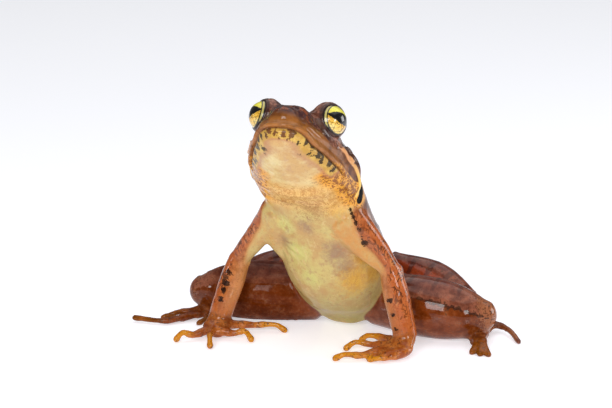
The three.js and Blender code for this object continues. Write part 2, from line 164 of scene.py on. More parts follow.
HEAD_TURNED = turned(2, HEAD_TURN) @ turned(0, -HEAD_PITCH) @ turned(1, HEAD_ROLL)
from_head = lambda points: points @ HEAD_TURNED.T + NECK
to_head = lambda points: (points - NECK) @ HEAD_TURNED
eye_middle = lambda side: np.array([side * EYE_SIDE, -EYE_FORWARD, EYE_UP])

head_rows = np.column_stack([0 * HEAD_ROWS[:, 0], -HEAD_ROWS[:, 0], HEAD_ROWS[:, 1:]])
points, faces = length_of_flesh(head_rows, [0, 0, 1], HEAD_START, HEAD_END, 110, 96, HEAD_SQUARENESS)
surfaces = [(from_head(points), faces)]


def ball(middle, radii, rings=28, sides=44):
    """A ball stretched along the axes: middle + radii (sin a cos b, sin a sin b, cos a)."""
    down, round_it = np.linspace(0, np.pi, rings + 2)[1:-1], np.arange(sides) * 2 * np.pi / sides
    a, b = np.meshgrid(down, round_it, indexing="ij")
    round_ball = np.stack([np.sin(a) * np.cos(b), np.sin(a) * np.sin(b), np.cos(a)], -1).reshape(-1, 3)
    points = np.concatenate([[[0, 0, 1]], round_ball, [[0, 0, -1]]])
    return points * radii + middle, ring_faces(rings, sides)


for side in (1, -1):
    eye = eye_middle(side)
    for middle, radii in (
        (eye, [4.4, 4.4, 4.4]),
        (eye + [-side * 1.7, 1.3, -1.3], [4.8, 5.4, 4.4]),
    ):
        points, faces = ball(middle, radii)
        surfaces.append((from_head(points), faces))

# ---- The trunk: y, z, half width, height of the back, depth of the belly, from rump to neck.

TRUNK_ROWS = np.array([
    [-1.6, 3.8, 7.4, 5.4, 5.8],
    [-2.8, 8.6, 10.8, 7.2, 9.4],
    [-5.4, 15.2, 12.4, 8.6, 11.8],
    [-10.4, 22.8, 13.0, 8.0, 11.8],
    [-15.0, 29.6, 12.3, 6.9, 9.8],
    [-19.0, 35.4, 12.1, 6.8, 8.5],
    [-22.6, 40.6, 12.1, 6.5, 7.9],
    [-28.0, 44.8, 12.0, 6.2, 7.8],
])
placed_head = np.hstack([from_head(head_rows[:, :3]), head_rows[:, 3:]])
lay("head", placed_head, HEAD_TURNED[:, 2], HEAD_START, HEAD_END, squareness=HEAD_SQUARENESS)
lay("trunk", np.column_stack([0 * TRUNK_ROWS[:, 0], TRUNK_ROWS]), [0, 1, 0.6], 3.2, 1.0, squareness=2.1)
surfaces.append(ball([0, 0.4, 2.3], [4.6, 3.6, 2.8]))  # the rump, on which it sits

# ---- Front legs: shoulder, elbow, wrist, palm and its front, and each finger's root, joint, knuckle and tip.

ARMS = {
    "left": (
        [8.4, -20.8, 33.0], [17.5, -16.2, 19.4], [21.9, -17.0, 4.2],
        [21.4, -20.6, 2.0], [18.6, -23.6, 1.6],
    ),
    "right": (
        [-9.4, -21.4, 31.6], [-20.2, -19.6, 18.4], [-24.2, -22.6, 4.0],
        [-23.4, -25.6, 2.2], [-22.4, -27.6, 1.8],
    ),
}
FINGERS = {
    "left": [
        [[18.4, -16.6, 2.4], [14.6, -14.7, 2.2], [11.4, -15.2, 2.2], [9.7, -14.8, 0.65]],
        [[18.6, -19.4, 2.3], [14.6, -19.7, 1.9], [10.8, -20.6, 2.2], [8.8, -21.7, 0.65]],
        [[19.2, -21.4, 2.2], [14.8, -26.0, 1.4], [11.5, -28.3, 1.8], [9.4, -28.9, 0.65]],
        [[23.0, -20.8, 1.6], [21.8, -23.4, 1.4], [19.2, -25.8, 1.3], [16.6, -25.9, 0.65]],
    ],
    "right": [
        [[-24.9, -27.9, 1.9], [-27.0, -31.0, 1.4], [-28.7, -32.6, 2.3], [-29.8, -33.9, 0.65]],
        [[-23.4, -28.0, 2.1], [-22.4, -30.4, 2.2], [-21.3, -32.6, 2.2], [-20.2, -34.4, 0.65]],
        [[-21.6, -26.9, 2.1], [-18.4, -26.4, 1.7], [-15.8, -25.4, 2.3], [-13.7, -26.0, 0.65]],
        [[-21.2, -22.6, 2.3], [-16.8, -18.7, 1.7], [-12.0, -16.9, 1.9], [-9.7, -16.4, 0.65]],
    ],
}
PALM_SIZES = [[2.7, 2.0, 2.1], [3.0, 1.7, 2.2], [3.4, 1.35, 2.1], [2.2, 0.9, 1.5]]
for name, (shoulder, elbow, wrist, palm, front) in ARMS.items():
    bowed = np.add(shoulder, elbow) / 2 + [0.6 if name == "left" else 0.2, 0.0, 0.2]
    lay("upper_arm_" + name, limb_rows([shoulder, bowed, elbow], [3.8, 3.1, 2.7, 2.3]), [0, 1, 0], 2.0, 2.4)
    lay("forearm_" + name, limb_rows([elbow, wrist], [2.5, 3.0, 2.95, 2.7]), [0, 1, 0], 1.2, 1.4)
    hand = np.array([wrist, np.add(wrist, palm) / 2, palm, front])
    lay("palm_" + name, np.hstack([hand, PALM_SIZES]), [0, 0.3, 1], 0.5, 1.0)
    for i, finger in enumerate(FINGERS[name]):
        rows = limb_rows([palm, *finger], [1.5, 1.15, 0.85, 0.68, 0.76])
        lay(f"finger_{name}_{i}", rows, [0, 0, 1], 0.8, 0.7)

# ---- The loose skin of each armpit, from the chest down to the inner side of the upper arm.

ARMPITS = {
    "left": [[7.6, -21.4, 32.0], [11.8, -19.2, 25.4], [15.8, -17.2, 20.6]],
    "right": [[-8.2, -21.4, 32.0], [-10.2, -19.4, 25.4], [-8.8, -16.4, 19.6]],
}
for name, line in ARMPITS.items():
    lay("armpit_" + name, limb_rows(line, [4.4, 2.9, 1.8]), [0, 1, 0], 1.0, 1.2)

# ---- Hind legs: thigh, shank and tarsus, the middle of the sole, and each toe's root, bend and tip.

LEGS = {
    "left": (
        [[8.0, 0.2, 6.4], [21.0, -2.0, 6.9], [29.6, -1.2, 6.3], [34.6, 0.4, 5.9]],
        [[31.2, 4.4, 6.4], [20.0, 8.2, 10.2], [7.6, 10.0, 13.0]],
        [[7.4, 11.2, 10.2], [19.0, 11.8, 4.4], [27.0, 10.0, 2.4]],
        [32.0, 5.0, 1.9],
    ),
    "right": (
        [[-8.0, -2.8, 6.4], [-20.6, -8.0, 7.0], [-29.8, -9.8, 6.2], [-35.8, -10.8, 5.6]],
        [[-33.6, -7.0, 6.0], [-21.6, 0.4, 10.2], [-8.6, 6.4, 13.4]],
        [[-8.6, 9.0, 10.2], [-19.0, 5.0, 4.4], [-27.0, -0.4, 2.4]],
        [-32.0, -9.0, 1.9],
    ),
}
TOES = {
    "left": [
        [[31.8, -0.8, 1.3], [32.8, -3.0, 1.5], [34.2, -4.8, 0.5]],
        [[33.0, -1.2, 1.4], [35.4, -6.6, 1.7], [35.9, -10.8, 0.45]],
        [[34.0, -1.0, 1.5], [36.3, -6.6, 1.8], [38.0, -11.2, 0.45]],
        [[35.0, -0.6, 1.5], [37.2, -6.2, 1.8], [39.9, -10.7, 0.45]],
        [[35.0, 7.4, 1.7], [39.4, 5.4, 1.5], [43.4, 0.9, 0.5]],
    ],
    "right": [
        [[-31.0, -14.0, 1.2], [-30.4, -17.6, 1.3], [-31.4, -20.6, 0.45]],
        [[-32.2, -14.6, 1.3], [-34.4, -18.6, 1.3], [-36.8, -20.0, 0.45]],
        [[-33.0, -15.0, 1.4], [-36.4, -20.2, 1.3], [-40.2, -22.0, 0.45]],
        [[-33.8, -15.8, 1.6], [-38.4, -23.4, 1.0], [-46.8, -25.4, 1.1]],
        [[-35.2, -14.2, 1.5], [-38.4, -18.4, 1.7], [-41.6, -20.6, 0.5]],
    ],
}
SOLE_SIZES = [[2.2, 1.8, 1.9], [2.6, 1.5, 2.0], [3.0, 1.0, 1.5]]
for name, (thigh, shank, tarsus, sole) in LEGS.items():
    toes = TOES[name]
    lay("thigh_" + name, limb_rows(thigh, [6.6, 7.4, 6.3, 3.7]), [0, 0, 1], 3.0, 3.2)
    lay("shank_" + name, limb_rows(shank, [2.6, 4.6, 2.8]), [0, 0, 1], 1.6, 2.0)
    lay("tarsus_" + name, limb_rows(tarsus, [2.4, 2.0, 2.1]), [0, 0, 1], 1.0, 1.4)
    foot = np.array([tarsus[2], sole, np.add(toes[1][0], toes[2][0]) / 2])
    lay("sole_" + name, np.hstack([foot, SOLE_SIZES]), [0, 0, 1], 0.5, 1.0)
    for i, toe in enumerate(toes):
        lay(f"toe_{name}_{i}", limb_rows([sole, *toe], [1.2, 0.95, 0.72, 0.7]), [0, 0, 1], 0.8, 0.7)

surfaces += [length_of_flesh(**form) for name, form in flesh.items() if name != "head"]


def web(toe_a, toe_b, reach=0.55, spread=5.0, hollow=0.45, thick=0.34, steps=14, across=12):
    """The thin skin between two toes: straight lines from toe to toe, out to a free edge that is hollowed
    by reach (1 - hollow sin(pi v)), thickened to both sides and closed round its rim."""
    reach = reach * min(1, spread / np.linalg.norm(np.subtract(toe_a[2], toe_b[2])))
    i, v = np.meshgrid(np.linspace(0, 1, steps), np.linspace(0, 1, across), indexing="ij")
    place = (i * reach * (1 - hollow * np.sin(np.pi * v))).ravel()
    a, b = (eased(toe, [0, 0.5, 1], place)[0] for toe in (toe_a, toe_b))
    sheet = a * (1 - v.ravel()[:, None]) + b * v.ravel()[:, None]
    around = np.concatenate([
        np.arange(across),
        np.arange(1, steps) * across + across - 1,
        (steps - 1) * across + np.arange(across - 2, -1, -1),
        np.arange(steps - 2, 0, -1) * across,
    ])
    count, after = steps * across, np.roll(around, -1)
    row, column = np.meshgrid(np.arange(steps - 1), np.arange(across - 1), indexing="ij")
    corner = (row * across + column).ravel()
    top = np.stack([corner, corner + across, corner + across + 1, corner + 1], -1)
    rim = np.stack([around, after, after + count, around + count], -1)
    points = np.concatenate([sheet + [0, 0, thick], sheet - [0, 0, thick]])
    return points, top.tolist() + (top[:, ::-1] + count).tolist() + rim.tolist()


for name, toes in TOES.items():
    for a, b in zip(toes, toes[1:]):
        surfaces.append(web(a, b) if name == "left" else web(b, a))

# ---- One surface round all of the flesh. The space round the head is stretched first, so that the head
# ---- gets smaller faces than the body, and drawn in again after.

LENS_MIDDLE = from_head(np.array([[0.0, -13.0, 2.0]]))
LENS_GAIN, LENS_REACH = 0.75, 15.0
VOXEL = 0.42


def lens(points, back=False):
    """Points moved along rays from the lens's middle, from r to r + gain reach tanh(r / reach)."""
    r = np.linspace(0, 200, 4000)
    grown = r + LENS_GAIN * LENS_REACH * np.tanh(r / LENS_REACH)
    away = points - LENS_MIDDLE
    now = lengths(away)[:, None]
    then = np.interp(now, grown, r) if back else np.interp(now, r, grown)
    return LENS_MIDDLE + away * then / np.maximum(now, 1e-9)


def mesh_of(name, points, faces):
    mesh = bpy.data.meshes.new(name)
    mesh.from_pydata(points.tolist(), [], faces)
    mesh.update()
    return mesh


def placed(name, data):
    thing = bpy.data.objects.new(name, data)
    bpy.context.scene.collection.objects.link(thing)
    return thing


starts = np.cumsum([0] + [len(points) for points, _ in surfaces])
all_points = np.concatenate([points for points, _ in surfaces])
all_faces = [[k + start for k in face] for start, (_, faces) in zip(starts, surfaces) for face in faces]
flesh_object = placed("flesh", mesh_of("flesh", lens(all_points), all_faces))
wrap = flesh_object.modifiers.new("wrap", "REMESH")
wrap.mode, wrap.voxel_size, wrap.adaptivity = "VOXEL", VOXEL, 0.0
evaluated = flesh_object.evaluated_get(bpy.context.evaluated_depsgraph_get())
skin_mesh = bpy.data.meshes.new_from_object(evaluated)
bpy.data.objects.remove(flesh_object)

skin_points = np.empty(len(skin_mesh.vertices) * 3)
skin_mesh.vertices.foreach_get("co", skin_points)
skin_points = lens(skin_points.reshape(-1, 3), back=True)
edges = np.empty(len(skin_mesh.edges) * 2, int)
skin_mesh.edges.foreach_get("vertices", edges)
edges = edges.reshape(-1, 2)
share = 1 / np.maximum(np.bincount(edges.ravel(), minlength=len(skin_points)), 1)


def outward(points):
    """Outward directions of the skin at its points."""
    skin_mesh.vertices.foreach_set("co", points.ravel())
    skin_mesh.update()
    out = np.empty(points.size, np.float32)
    skin_mesh.vertex_normals.foreach_get("vector", out)
    return out.reshape(-1, 3).astype(float)


def neighbours_mean(values):
    """Mean of a value over each point's neighbours on the skin."""
    a, b = edges.T
    columns = values.reshape(len(values), -1).T
    total = [np.bincount(a, c[b], len(c)) + np.bincount(b, c[a], len(c)) for c in columns]
    return (np.stack(total, -1) * share[:, None]).reshape(values.shape)


def ramp(low, high, values):
    """0 below low, 1 above high, and 3 t^2 - 2 t^3 between; low may be the greater."""
    t = np.clip((values - low) / (high - low), 0, 1)
    return t * t * (3 - 2 * t)


def bell(values, width):
    """A hump of height 1: e to the power -(value / width)^2."""
    return np.exp(-((values / width) ** 2))


def far_apart(points, others):
    """Squared distance of each point from each of the others."""
    return (points**2).sum(1)[:, None] - 2 * points @ others.T + (others**2).sum(1)


def beside(points, name, count=64):
    """Where points lie beside a length of flesh: how far along it (0 to 1), the angle round it in degrees
    (0 on its across side, 90 above), their distance from its surface in mm, and the way they face from it."""
    form = flesh[name]
    places = np.linspace(0, 1, count)
    middle, forward, across, above, size, total = sections(form["rows"], form["up"], places)
    k = np.argmin(far_apart(points, middle) / size.mean(1) ** 2, 1)
    away = points - middle[k]
    x, z = (away * across[k]).sum(1), (away * above[k]).sum(1)
    end = (away * forward[k]).sum(1)
    at_end = (k == 0) | (k == count - 1)
    past = np.where(at_end, np.abs(end) / np.where(k == 0, form["start"], form["end"]), 0)
    tall = np.where(z > 0, size[k, 1], size[k, 2])
    q = form.get("squareness", 2.0)
    out = (np.abs(x / size[k, 0]) ** q + np.abs(z / tall) ** q + past**q) ** (1 / q)
    facing = across[k] * x[:, None] + above[k] * z[:, None]
    facing /= np.maximum(np.hypot(x, z), 1e-6)[:, None]
    turn = np.degrees(np.arctan2(z / tall, x / size[k, 0]))
    return places[k] + end / total, turn, (out - 1) * size[k].mean(1), facing


BLEND, DEEPEST, FARTHEST = 0.7, -3, 12
names = list(flesh)
places = {name: beside(skin_points, name) for name in names}
distances = np.stack([places[name][2] for name in names], -1)
nearness = np.exp(-np.clip(distances, DEEPEST, FARTHEST) / BLEND)
shares = dict(zip(names, (nearness / nearness.sum(1, keepdims=True)).T))
part_of = lambda *starts: sum(share for name, share in shares.items() if name.startswith(starts))
extremities = part_of("finger", "toe", "palm", "sole")

# The wrap has small steps, which a few light rounds of smoothing take off. Then the creases between the
# lengths are filled as skin bridges them: a point in a hollow moves out towards its neighbours' mean.
SMOOTHING_ROUNDS, FILLING_ROUNDS, CREASE_ROUNDS = 3, 34, 6
for _ in range(SMOOTHING_ROUNDS):
    skin_points += 0.5 * (neighbours_mean(skin_points) - skin_points)
unfilled = skin_points.copy()
from_eyes = [lengths(skin_points - from_head(eye_middle(side))) for side in (1, -1)]
by_eye = np.clip(sum(ramp(6.0, 4.6, distance) for distance in from_eyes), 0, 1)
by_thigh = np.clip(4 * shares["trunk"] * part_of("thigh"), 0, 1)
give = 0.95 * (1 - 0.75 * ramp(0.2, 0.7, extremities)) * (1 - 0.6 * by_eye) * (1 - 0.6 * by_thigh)
for _ in range(FILLING_ROUNDS):
    out = outward(skin_points)
    hollow = ((neighbours_mean(skin_points) - skin_points) * out).sum(1)
    skin_points += out * (np.maximum(hollow, 0) * give)[:, None]
crease = lengths(skin_points - unfilled)
for _ in range(CREASE_ROUNDS):
    crease = neighbours_mean(crease)

# ---- The lids. Each eye's opening is a cone from the eyeball's middle. Skin within it is drawn in under
# ---- the eyeball, and skin round it is rolled into a soft edge that touches the eyeball.

LOOK_TURN, LOOK_LIFT = 54.0, 2.0
OPENING_WIDE, OPENING_ABOVE, OPENING_BELOW = 61.0, 53.0, 57.0
LID_TOUCH = EYE_RADIUS - 0.06
LID_REACH, GATHERED = 5.6, 1.3


def gaze(side, turn, lift):
    """Direction in the head's frame, turned out from straight ahead and lifted, in degrees, and the level
    and the rising direction across it."""
    turn, lift = math.radians(turn), math.radians(lift)
    flat = math.cos(lift)
    look = np.array([side * math.sin(turn) * flat, -math.cos(turn) * flat, math.sin(lift)])
    level = unit(np.cross([0, 0, side], look))
    return look, level, side * np.cross(look, level)


def lid_places(side, head_points):
    """Distance from the eyeball's middle, direction, direction away from the gaze, angle from the gaze, how
    far past the opening's edge in mm along the ball (negative in the opening), and how high on the rim
    (-1 below to 1 above). The edge is the ellipse 1 / sqrt((cos p / wide)^2 + (sin p / high)^2)."""
    look, level, rise = gaze(side, LOOK_TURN, LOOK_LIFT)
    away = head_points - eye_middle(side)
    r = lengths(away)
    aim = away / np.maximum(r, 1e-6)[:, None]
    off = aim - (aim @ look)[:, None] * look
    off = off / np.maximum(lengths(off), 1e-6)[:, None]
    angle = np.degrees(np.arccos(np.clip(aim @ look, -1, 1)))
    high = np.where(off @ rise > 0, OPENING_ABOVE, OPENING_BELOW)
    edge = 1 / np.sqrt((off @ level / OPENING_WIDE) ** 2 + (off @ rise / high) ** 2)
    return r, look, off, angle, np.radians(angle - edge) * EYE_RADIUS, off @ rise


head_points = to_head(skin_points)
for side in (1, -1):
    r, look, off, angle, past, rise = lid_places(side, head_points)
    close = (r < LID_REACH) & (np.abs(past) < GATHERED)
    gathered = past * np.sqrt(np.abs(past) / GATHERED)
    angle = np.radians(angle + np.where(close, np.degrees((gathered - past) / EYE_RADIUS), 0))
    past = np.where(close, gathered, past)
    thick = 0.24 + 0.2 * ramp(-0.6, 0.5, rise)
    rolled = LID_TOUCH + thick * np.sqrt(1 - (1 - np.clip(past / 0.45, 0, 1)) ** 2)
    release = np.maximum(past - 0.7, 0) ** 1.5 * (0.25 + 0.5 * ramp(-0.3, 0.6, rise))
    sunk = LID_TOUCH - 0.8 * ramp(0, -0.45, past)
    wanted = np.where(past < 0, sunk, rolled + release)
    new_r = np.where(r < LID_REACH, np.minimum(r, wanted), r)
    moved = (np.cos(angle)[:, None] * look + np.sin(angle)[:, None] * off) * new_r[:, None]
    moved += eye_middle(side)
    here = (r < LID_REACH) & (past < 3.2)
    head_points = np.where(here[:, None], moved, head_points)
skin_points = from_head(head_points)

# ---- The mouth is a groove round the snout at one level, dipping at its corners. Faces are gathered
# ---- along it.

head_share = shares["head"]
head_axes = lambda points: (np.abs(points[:, 0]), -points[:, 1], points[:, 2])
side, forward, up = head_axes(head_points)
on_head = ramp(0.25, 0.7, head_share)


def mouth_level(forward):
    """Height of the mouth's line: a little arched at the snout and dipping behind the eye."""
    front = 0.75 * ramp(19.5, 24.2, forward) - 0.3 * bell(forward - 18.5, 3)
    return MOUTH_LEVEL + front - 0.1 * bell(forward - 12, 4) - 0.8 * ramp(7.5, 3.5, forward)


out = outward(skin_points)
head_out = out @ HEAD_TURNED
below = mouth_level(forward) - up
has_mouth = on_head * ramp(3.6, 7.0, forward)
climb = np.array([0, 0, 1.0]) - head_out[:, 2:] * head_out
steep = np.maximum(1 - head_out[:, 2] ** 2, 0.3)
MOUTH_GATHERED = 1.2
gathered = below * np.sqrt(np.abs(below) / MOUTH_GATHERED)
close = (np.abs(below) < MOUTH_GATHERED) * has_mouth
head_points = head_points - climb * (close * (gathered - below) / steep)[:, None]
below = below + close * (gathered - below)
skin_points = from_head(head_points)
side, forward, up = head_axes(head_points)
lip_down = below / np.sqrt(steep)


def line_length(line, count=80):
    """Length of a smooth line through a few places."""
    path, _ = eased(line, np.linspace(0, 1, len(line)), np.linspace(0, 1, count))
    return lengths(np.diff(path, axis=0)).sum()


def by_line(points, line, count=80):
    """Distance of points from a smooth line through a few places, and how far along it (0 to 1) they lie."""
    steps = np.linspace(0, 1, count)
    path, slope = eased(line, np.linspace(0, 1, len(line)), steps)
    apart = far_apart(points, path)
    k = np.argmin(apart, 1)
    away, ahead = points - path[k], unit(slope)[k]
    on = (away * ahead).sum(1)
    inside = (k > 0) & (k < count - 1)
    off_line = lengths(away - ahead * on[:, None])
    distance = np.where(inside, off_line, np.sqrt(np.maximum(apart.min(1), 0)))
    return distance, steps[k] + on / line_length(line, count)


def mottle(points, size, seed, cells=48):
    """Smooth random values from -1 to 1: random numbers at the corners of cubes of this size, eased
    between."""
    table = np.random.RandomState(seed).uniform(-1, 1, (cells, cells, cells))
    cell = np.floor(points / size).astype(int)
    u = points / size - cell
    u = u * u * (3 - 2 * u)
    total = np.zeros(len(points))
    for corner in np.ndindex(2, 2, 2):
        i, j, k = ((cell + corner) % cells).T
        total += np.prod(np.where(corner, u, 1 - u), 1) * table[i, j, k]
    return total


# ---- Relief of the head, left and right alike: humps and grooves along lines and round places.

NOSTRIL, NOSTRIL_SLIT = np.array([2.0, 22.3, 4.0]), [0.12, 0.25, 0.0]
EARDRUM = [11.0, 5.2, 2.2]
RIDGE = [[5.6, 17.0, 6.3], [4.2, 19.6, 5.9], [2.7, 22.2, 4.4]]
SNOUT_HOLLOW = [[6.6, 17.6, 2.6], [5.2, 20.4, 2.2], [3.9, 22.6, 1.8]]
LIP_STRIPE = [
    [9.2, 12.4, 1.4], [10.2, 9.0, 1.1], [11.1, 6.6, 0.5], [11.9, 3.0, 0.3],
    [12.3, 0.0, -0.5], [12.4, -2.4, -2.4], [12.2, -3.6, -4.6],
]
TEMPLE_FOLD = [
    [8.9, 8.8, 6.2], [10.2, 6.4, 5.2], [11.3, 3.6, 3.9],
    [12.0, 1.2, 2.2], [12.3, -1.2, 0.4], [12.2, -3.5, -1.2],
]


def within(values, low, full, still, past):
    """0 outside low to past, 1 from full to still, eased between."""
    return ramp(low, full, values) * ramp(past, still, values)


face = np.stack([side, forward, up], -1)
groove = -0.36 * bell(lip_down, 0.15)
upper_lip = 0.3 * bell(lip_down + 0.55, 0.55) - 0.14 * bell(lip_down + 1.9, 0.7)
lower_lip = 0.1 * bell(lip_down - 0.8, 0.5) - 0.1 * within(lip_down, 0, 0.3, 0.4, 3.0)
relief = has_mouth * (groove + upper_lip + lower_lip)
near_nostril, _ = by_line(face, [NOSTRIL - NOSTRIL_SLIT, NOSTRIL, NOSTRIL + NOSTRIL_SLIT], 12)
relief += on_head * (0.1 * bell(near_nostril - 0.62, 0.34) - 0.7 * bell(near_nostril, 0.4))
from_ridge, along_ridge = by_line(face, RIDGE)
ridge_ends = within(along_ridge, -0.05, 0.15, 0.8, 1.1)
relief += on_head * 0.28 * bell(from_ridge, 0.9) * ridge_ends
relief -= on_head * 0.4 * bell(by_line(face, SNOUT_HOLLOW)[0], 1.7)
from_stripe, along_stripe = by_line(face, LIP_STRIPE)
stripe_ends = within(along_stripe, -0.02, 0.1, 0.9, 1.03)
relief += 0.34 * bell(from_stripe, 0.75) * stripe_ends
from_fold, along_fold = by_line(face, TEMPLE_FOLD)
relief += on_head * 0.3 * bell(from_fold, 0.6) * within(along_fold, -0.02, 0.12, 0.85, 1.02)
from_drum = lengths((face - EARDRUM) * [0.6, 1, 1])
drum_rim = 0.16 * bell(from_drum - 1.55, 0.28) - 0.18 * bell(from_drum - 2.05, 0.3)
relief += on_head * (drum_rim - 0.1 * ramp(1.4, 0.9, from_drum))
relief -= on_head * 0.35 * bell(side, 2.4) * bell(forward - 13.5, 5) * ramp(2, 5, up)
neck_fold = bell(forward + 3.2 + 0.6 * mottle(skin_points, 6.0, 3), 0.9) * ramp(1, -4, up)
relief -= 0.28 * neck_fold * ramp(0.1, 0.4, head_share + shares["trunk"])
eye_past, eye_rise = np.full(len(skin_points), 9.0), np.zeros(len(skin_points))
for s in (1, -1):
    r, _, _, _, past, rise = lid_places(s, head_points)
    here = (r < 6.2) & (past < eye_past)
    eye_past, eye_rise = np.where(here, past, eye_past), np.where(here, rise, eye_rise)
lid_fold = bell(eye_past - 1.5 - 0.25 * mottle(skin_points, 2.5, 5), 0.26)
relief -= 0.15 * lid_fold * ramp(-0.35, 0.2, eye_rise)
relief += 0.1 * bell(eye_past - 2.3, 0.5) * ramp(-0.1, 0.5, eye_rise)
relief *= ramp(0.2, 0.7, np.maximum(eye_past, 0)) * (eye_past > 0) + (eye_past > 8.9)

# ---- Relief of the trunk: a fold down each side of the back, a furrow over the spine between its muscles,
# ---- the hips, and soft folds across the chest and at the flanks.

trunk_along, trunk_angle, _, _ = beside(skin_points, "trunk")
on_trunk = ramp(0.15, 0.6, shares["trunk"])
back_angle = np.abs(trunk_angle - 90)
fold_angle = 40 - 6 * trunk_along
relief += on_trunk * 0.32 * bell((back_angle - fold_angle) * 0.19, 0.55) * ramp(0.05, 0.25, trunk_along)
relief -= on_trunk * 0.3 * bell(back_angle * 0.17, 0.9) * ramp(0.2, 0.35, trunk_along)
relief += on_trunk * 0.45 * bell(back_angle * 0.17 - 2.6, 1.3) * bell(trunk_along - 0.28, 0.1)
chest = ramp(-20, -60, trunk_angle) * (trunk_angle < 0) + (trunk_angle < -160)
chest = np.clip(chest, 0, 1) * on_trunk
wrinkle = mottle(skin_points * [0.35, 1, 1], 2.6, 11) + 0.5 * mottle(skin_points * [0.4, 1, 1], 1.3, 12)
relief += 0.1 * wrinkle * chest * ramp(0.72, 0.86, trunk_along)
relief += on_trunk * 0.22 * mottle(skin_points, 4.5, 13) * ramp(35, 80, np.abs(back_angle - 90))

# ---- Relief of the limbs: swollen joints, the furrows between muscles, and folds where a joint bends.

ARMPIT_FOLDS = [[8.8, -20.8, 25.6], [-8.6, -20.8, 25.0]]
SHOULDER_FOLD = [[9.0, -25.4, 39.2], [9.7, -24.5, 37.2], [10.3, -23.7, 34.6], [11.2, -22.8, 32.0]]
limb_fields = {name: beside(skin_points, name) for name in names if name not in ("head", "trunk")}
for name, (along, angle, _, _) in limb_fields.items():
    on = ramp(0.1, 0.5, shares[name])
    if name.startswith(("finger", "toe")):
        knuckles = 0.14 * bell(along - 0.66, 0.05) + 0.1 * bell(along - 0.4, 0.05)
        relief += on * (knuckles - 0.05 * bell(along - 0.53, 0.05) + 0.12 * bell(along - 0.97, 0.05))
    elif name.startswith("thigh"):
        furrow = bell((np.abs(angle - 90) - 36) * 0.11, 0.9) * within(along, 0.05, 0.3, 0.7, 0.95)
        relief += on * (0.25 * bell(along - 0.95, 0.1) - 0.3 * furrow)
    elif name.startswith("shank"):
        furrow = bell((np.abs(angle - 90) - 45) * 0.07, 0.7) * within(along, 0.1, 0.3, 0.7, 0.95)
        relief -= on * 0.22 * furrow
    elif name.startswith("forearm"):
        relief -= on * 0.2 * bell((np.abs(angle) - 95) * 0.05, 0.6) * bell(along - 0.5, 0.3)
        relief += on * 0.3 * bell(along - 0.02, 0.08) * ramp(20, 70, angle)
    elif name.startswith("upper_arm"):
        relief -= on * 0.18 * bell((np.abs(angle) - 100) * 0.05, 0.6) * bell(along - 0.6, 0.3)
for middle in ARMPIT_FOLDS:
    across, _, along = (skin_points - middle).T
    reach = lengths(skin_points - middle)
    rays = np.cos(13 * np.arctan2(along, across) + 2.5 * mottle(skin_points, 5.0, 31))
    relief += on_trunk * 0.11 * rays * bell(reach - 4.6, 2.4)
shoulder, along_shoulder = by_line(skin_points, SHOULDER_FOLD)
relief += 0.3 * bell(shoulder, 0.6) * within(along_shoulder, -0.02, 0.2, 0.7, 1.02)
leg_skin = part_of("thigh", "shank", "tarsus")
arm_skin = part_of("upper_arm", "forearm")
fleshy = np.clip(1 - 0.8 * extremities, 0, 1)
relief += 0.1 * mottle(skin_points, 3.2, 21) * (0.4 * leg_skin + 0.5 * arm_skin + 0.5 * shares["trunk"])
relief += 0.05 * mottle(skin_points, 1.4, 22) * (fleshy - 0.6 * leg_skin) * (eye_past > 1)

# Low warts lie over the back, the flanks and the thighs, closer on the backs of the thighs.
WARTS, SMALLEST_WART, LARGEST_WART = 420, 0.3, 0.62
thighs = ("thigh_left", "thigh_right")
thigh_front = sum(shares[name] * ramp(0.2, 0.7, -limb_fields[name][3][:, 1]) for name in thighs)
crown = on_head * ramp(3, 6, up) * ramp(17, 10, forward) * (eye_past > 3)
wart_ground = np.maximum(leg_skin - thigh_front, 0) * 0.9 + shares["trunk"] * ramp(70, 40, back_angle)
wart_ground = np.maximum(wart_ground + 0.35 * crown, 0)
dice = np.random.RandomState(7)
chosen = dice.choice(len(skin_points), WARTS, replace=False, p=wart_ground / wart_ground.sum())
wart_size = dice.uniform(SMALLEST_WART, LARGEST_WART, len(chosen))
for block in np.array_split(np.arange(len(chosen)), 12):
    apart = far_apart(skin_points, skin_points[chosen[block]])
    relief += (0.28 * wart_size[block] * np.exp(-np.maximum(apart, 0) / wart_size[block] ** 2)).sum(1)

# The skin bears on the floor without passing it: heights under 0.25 mm ease off towards the floor.
BEARING = 0.25
skin_points = skin_points + outward(skin_points) * relief[:, None]
height = skin_points[:, 2]
pressed = BEARING * np.exp(np.minimum(height - BEARING, 0) / BEARING)
skin_points[:, 2] = np.where(height < BEARING, pressed, height)

# ---- Where each colour lies. Fields that run smoothly over the skin are stored on its points, and the
# ---- paint turns them into patches with broken edges.

head_points = to_head(skin_points)
side, forward, up = head_axes(head_points)
trunk_along, trunk_angle, _, _ = beside(skin_points, "trunk")
core = shares["head"] + shares["trunk"] + part_of("armpit")
on_head = ramp(0.2, 0.8, shares["head"])
belly_angle = np.abs((trunk_angle + 270) % 360 - 180)
height = skin_points[:, 2]

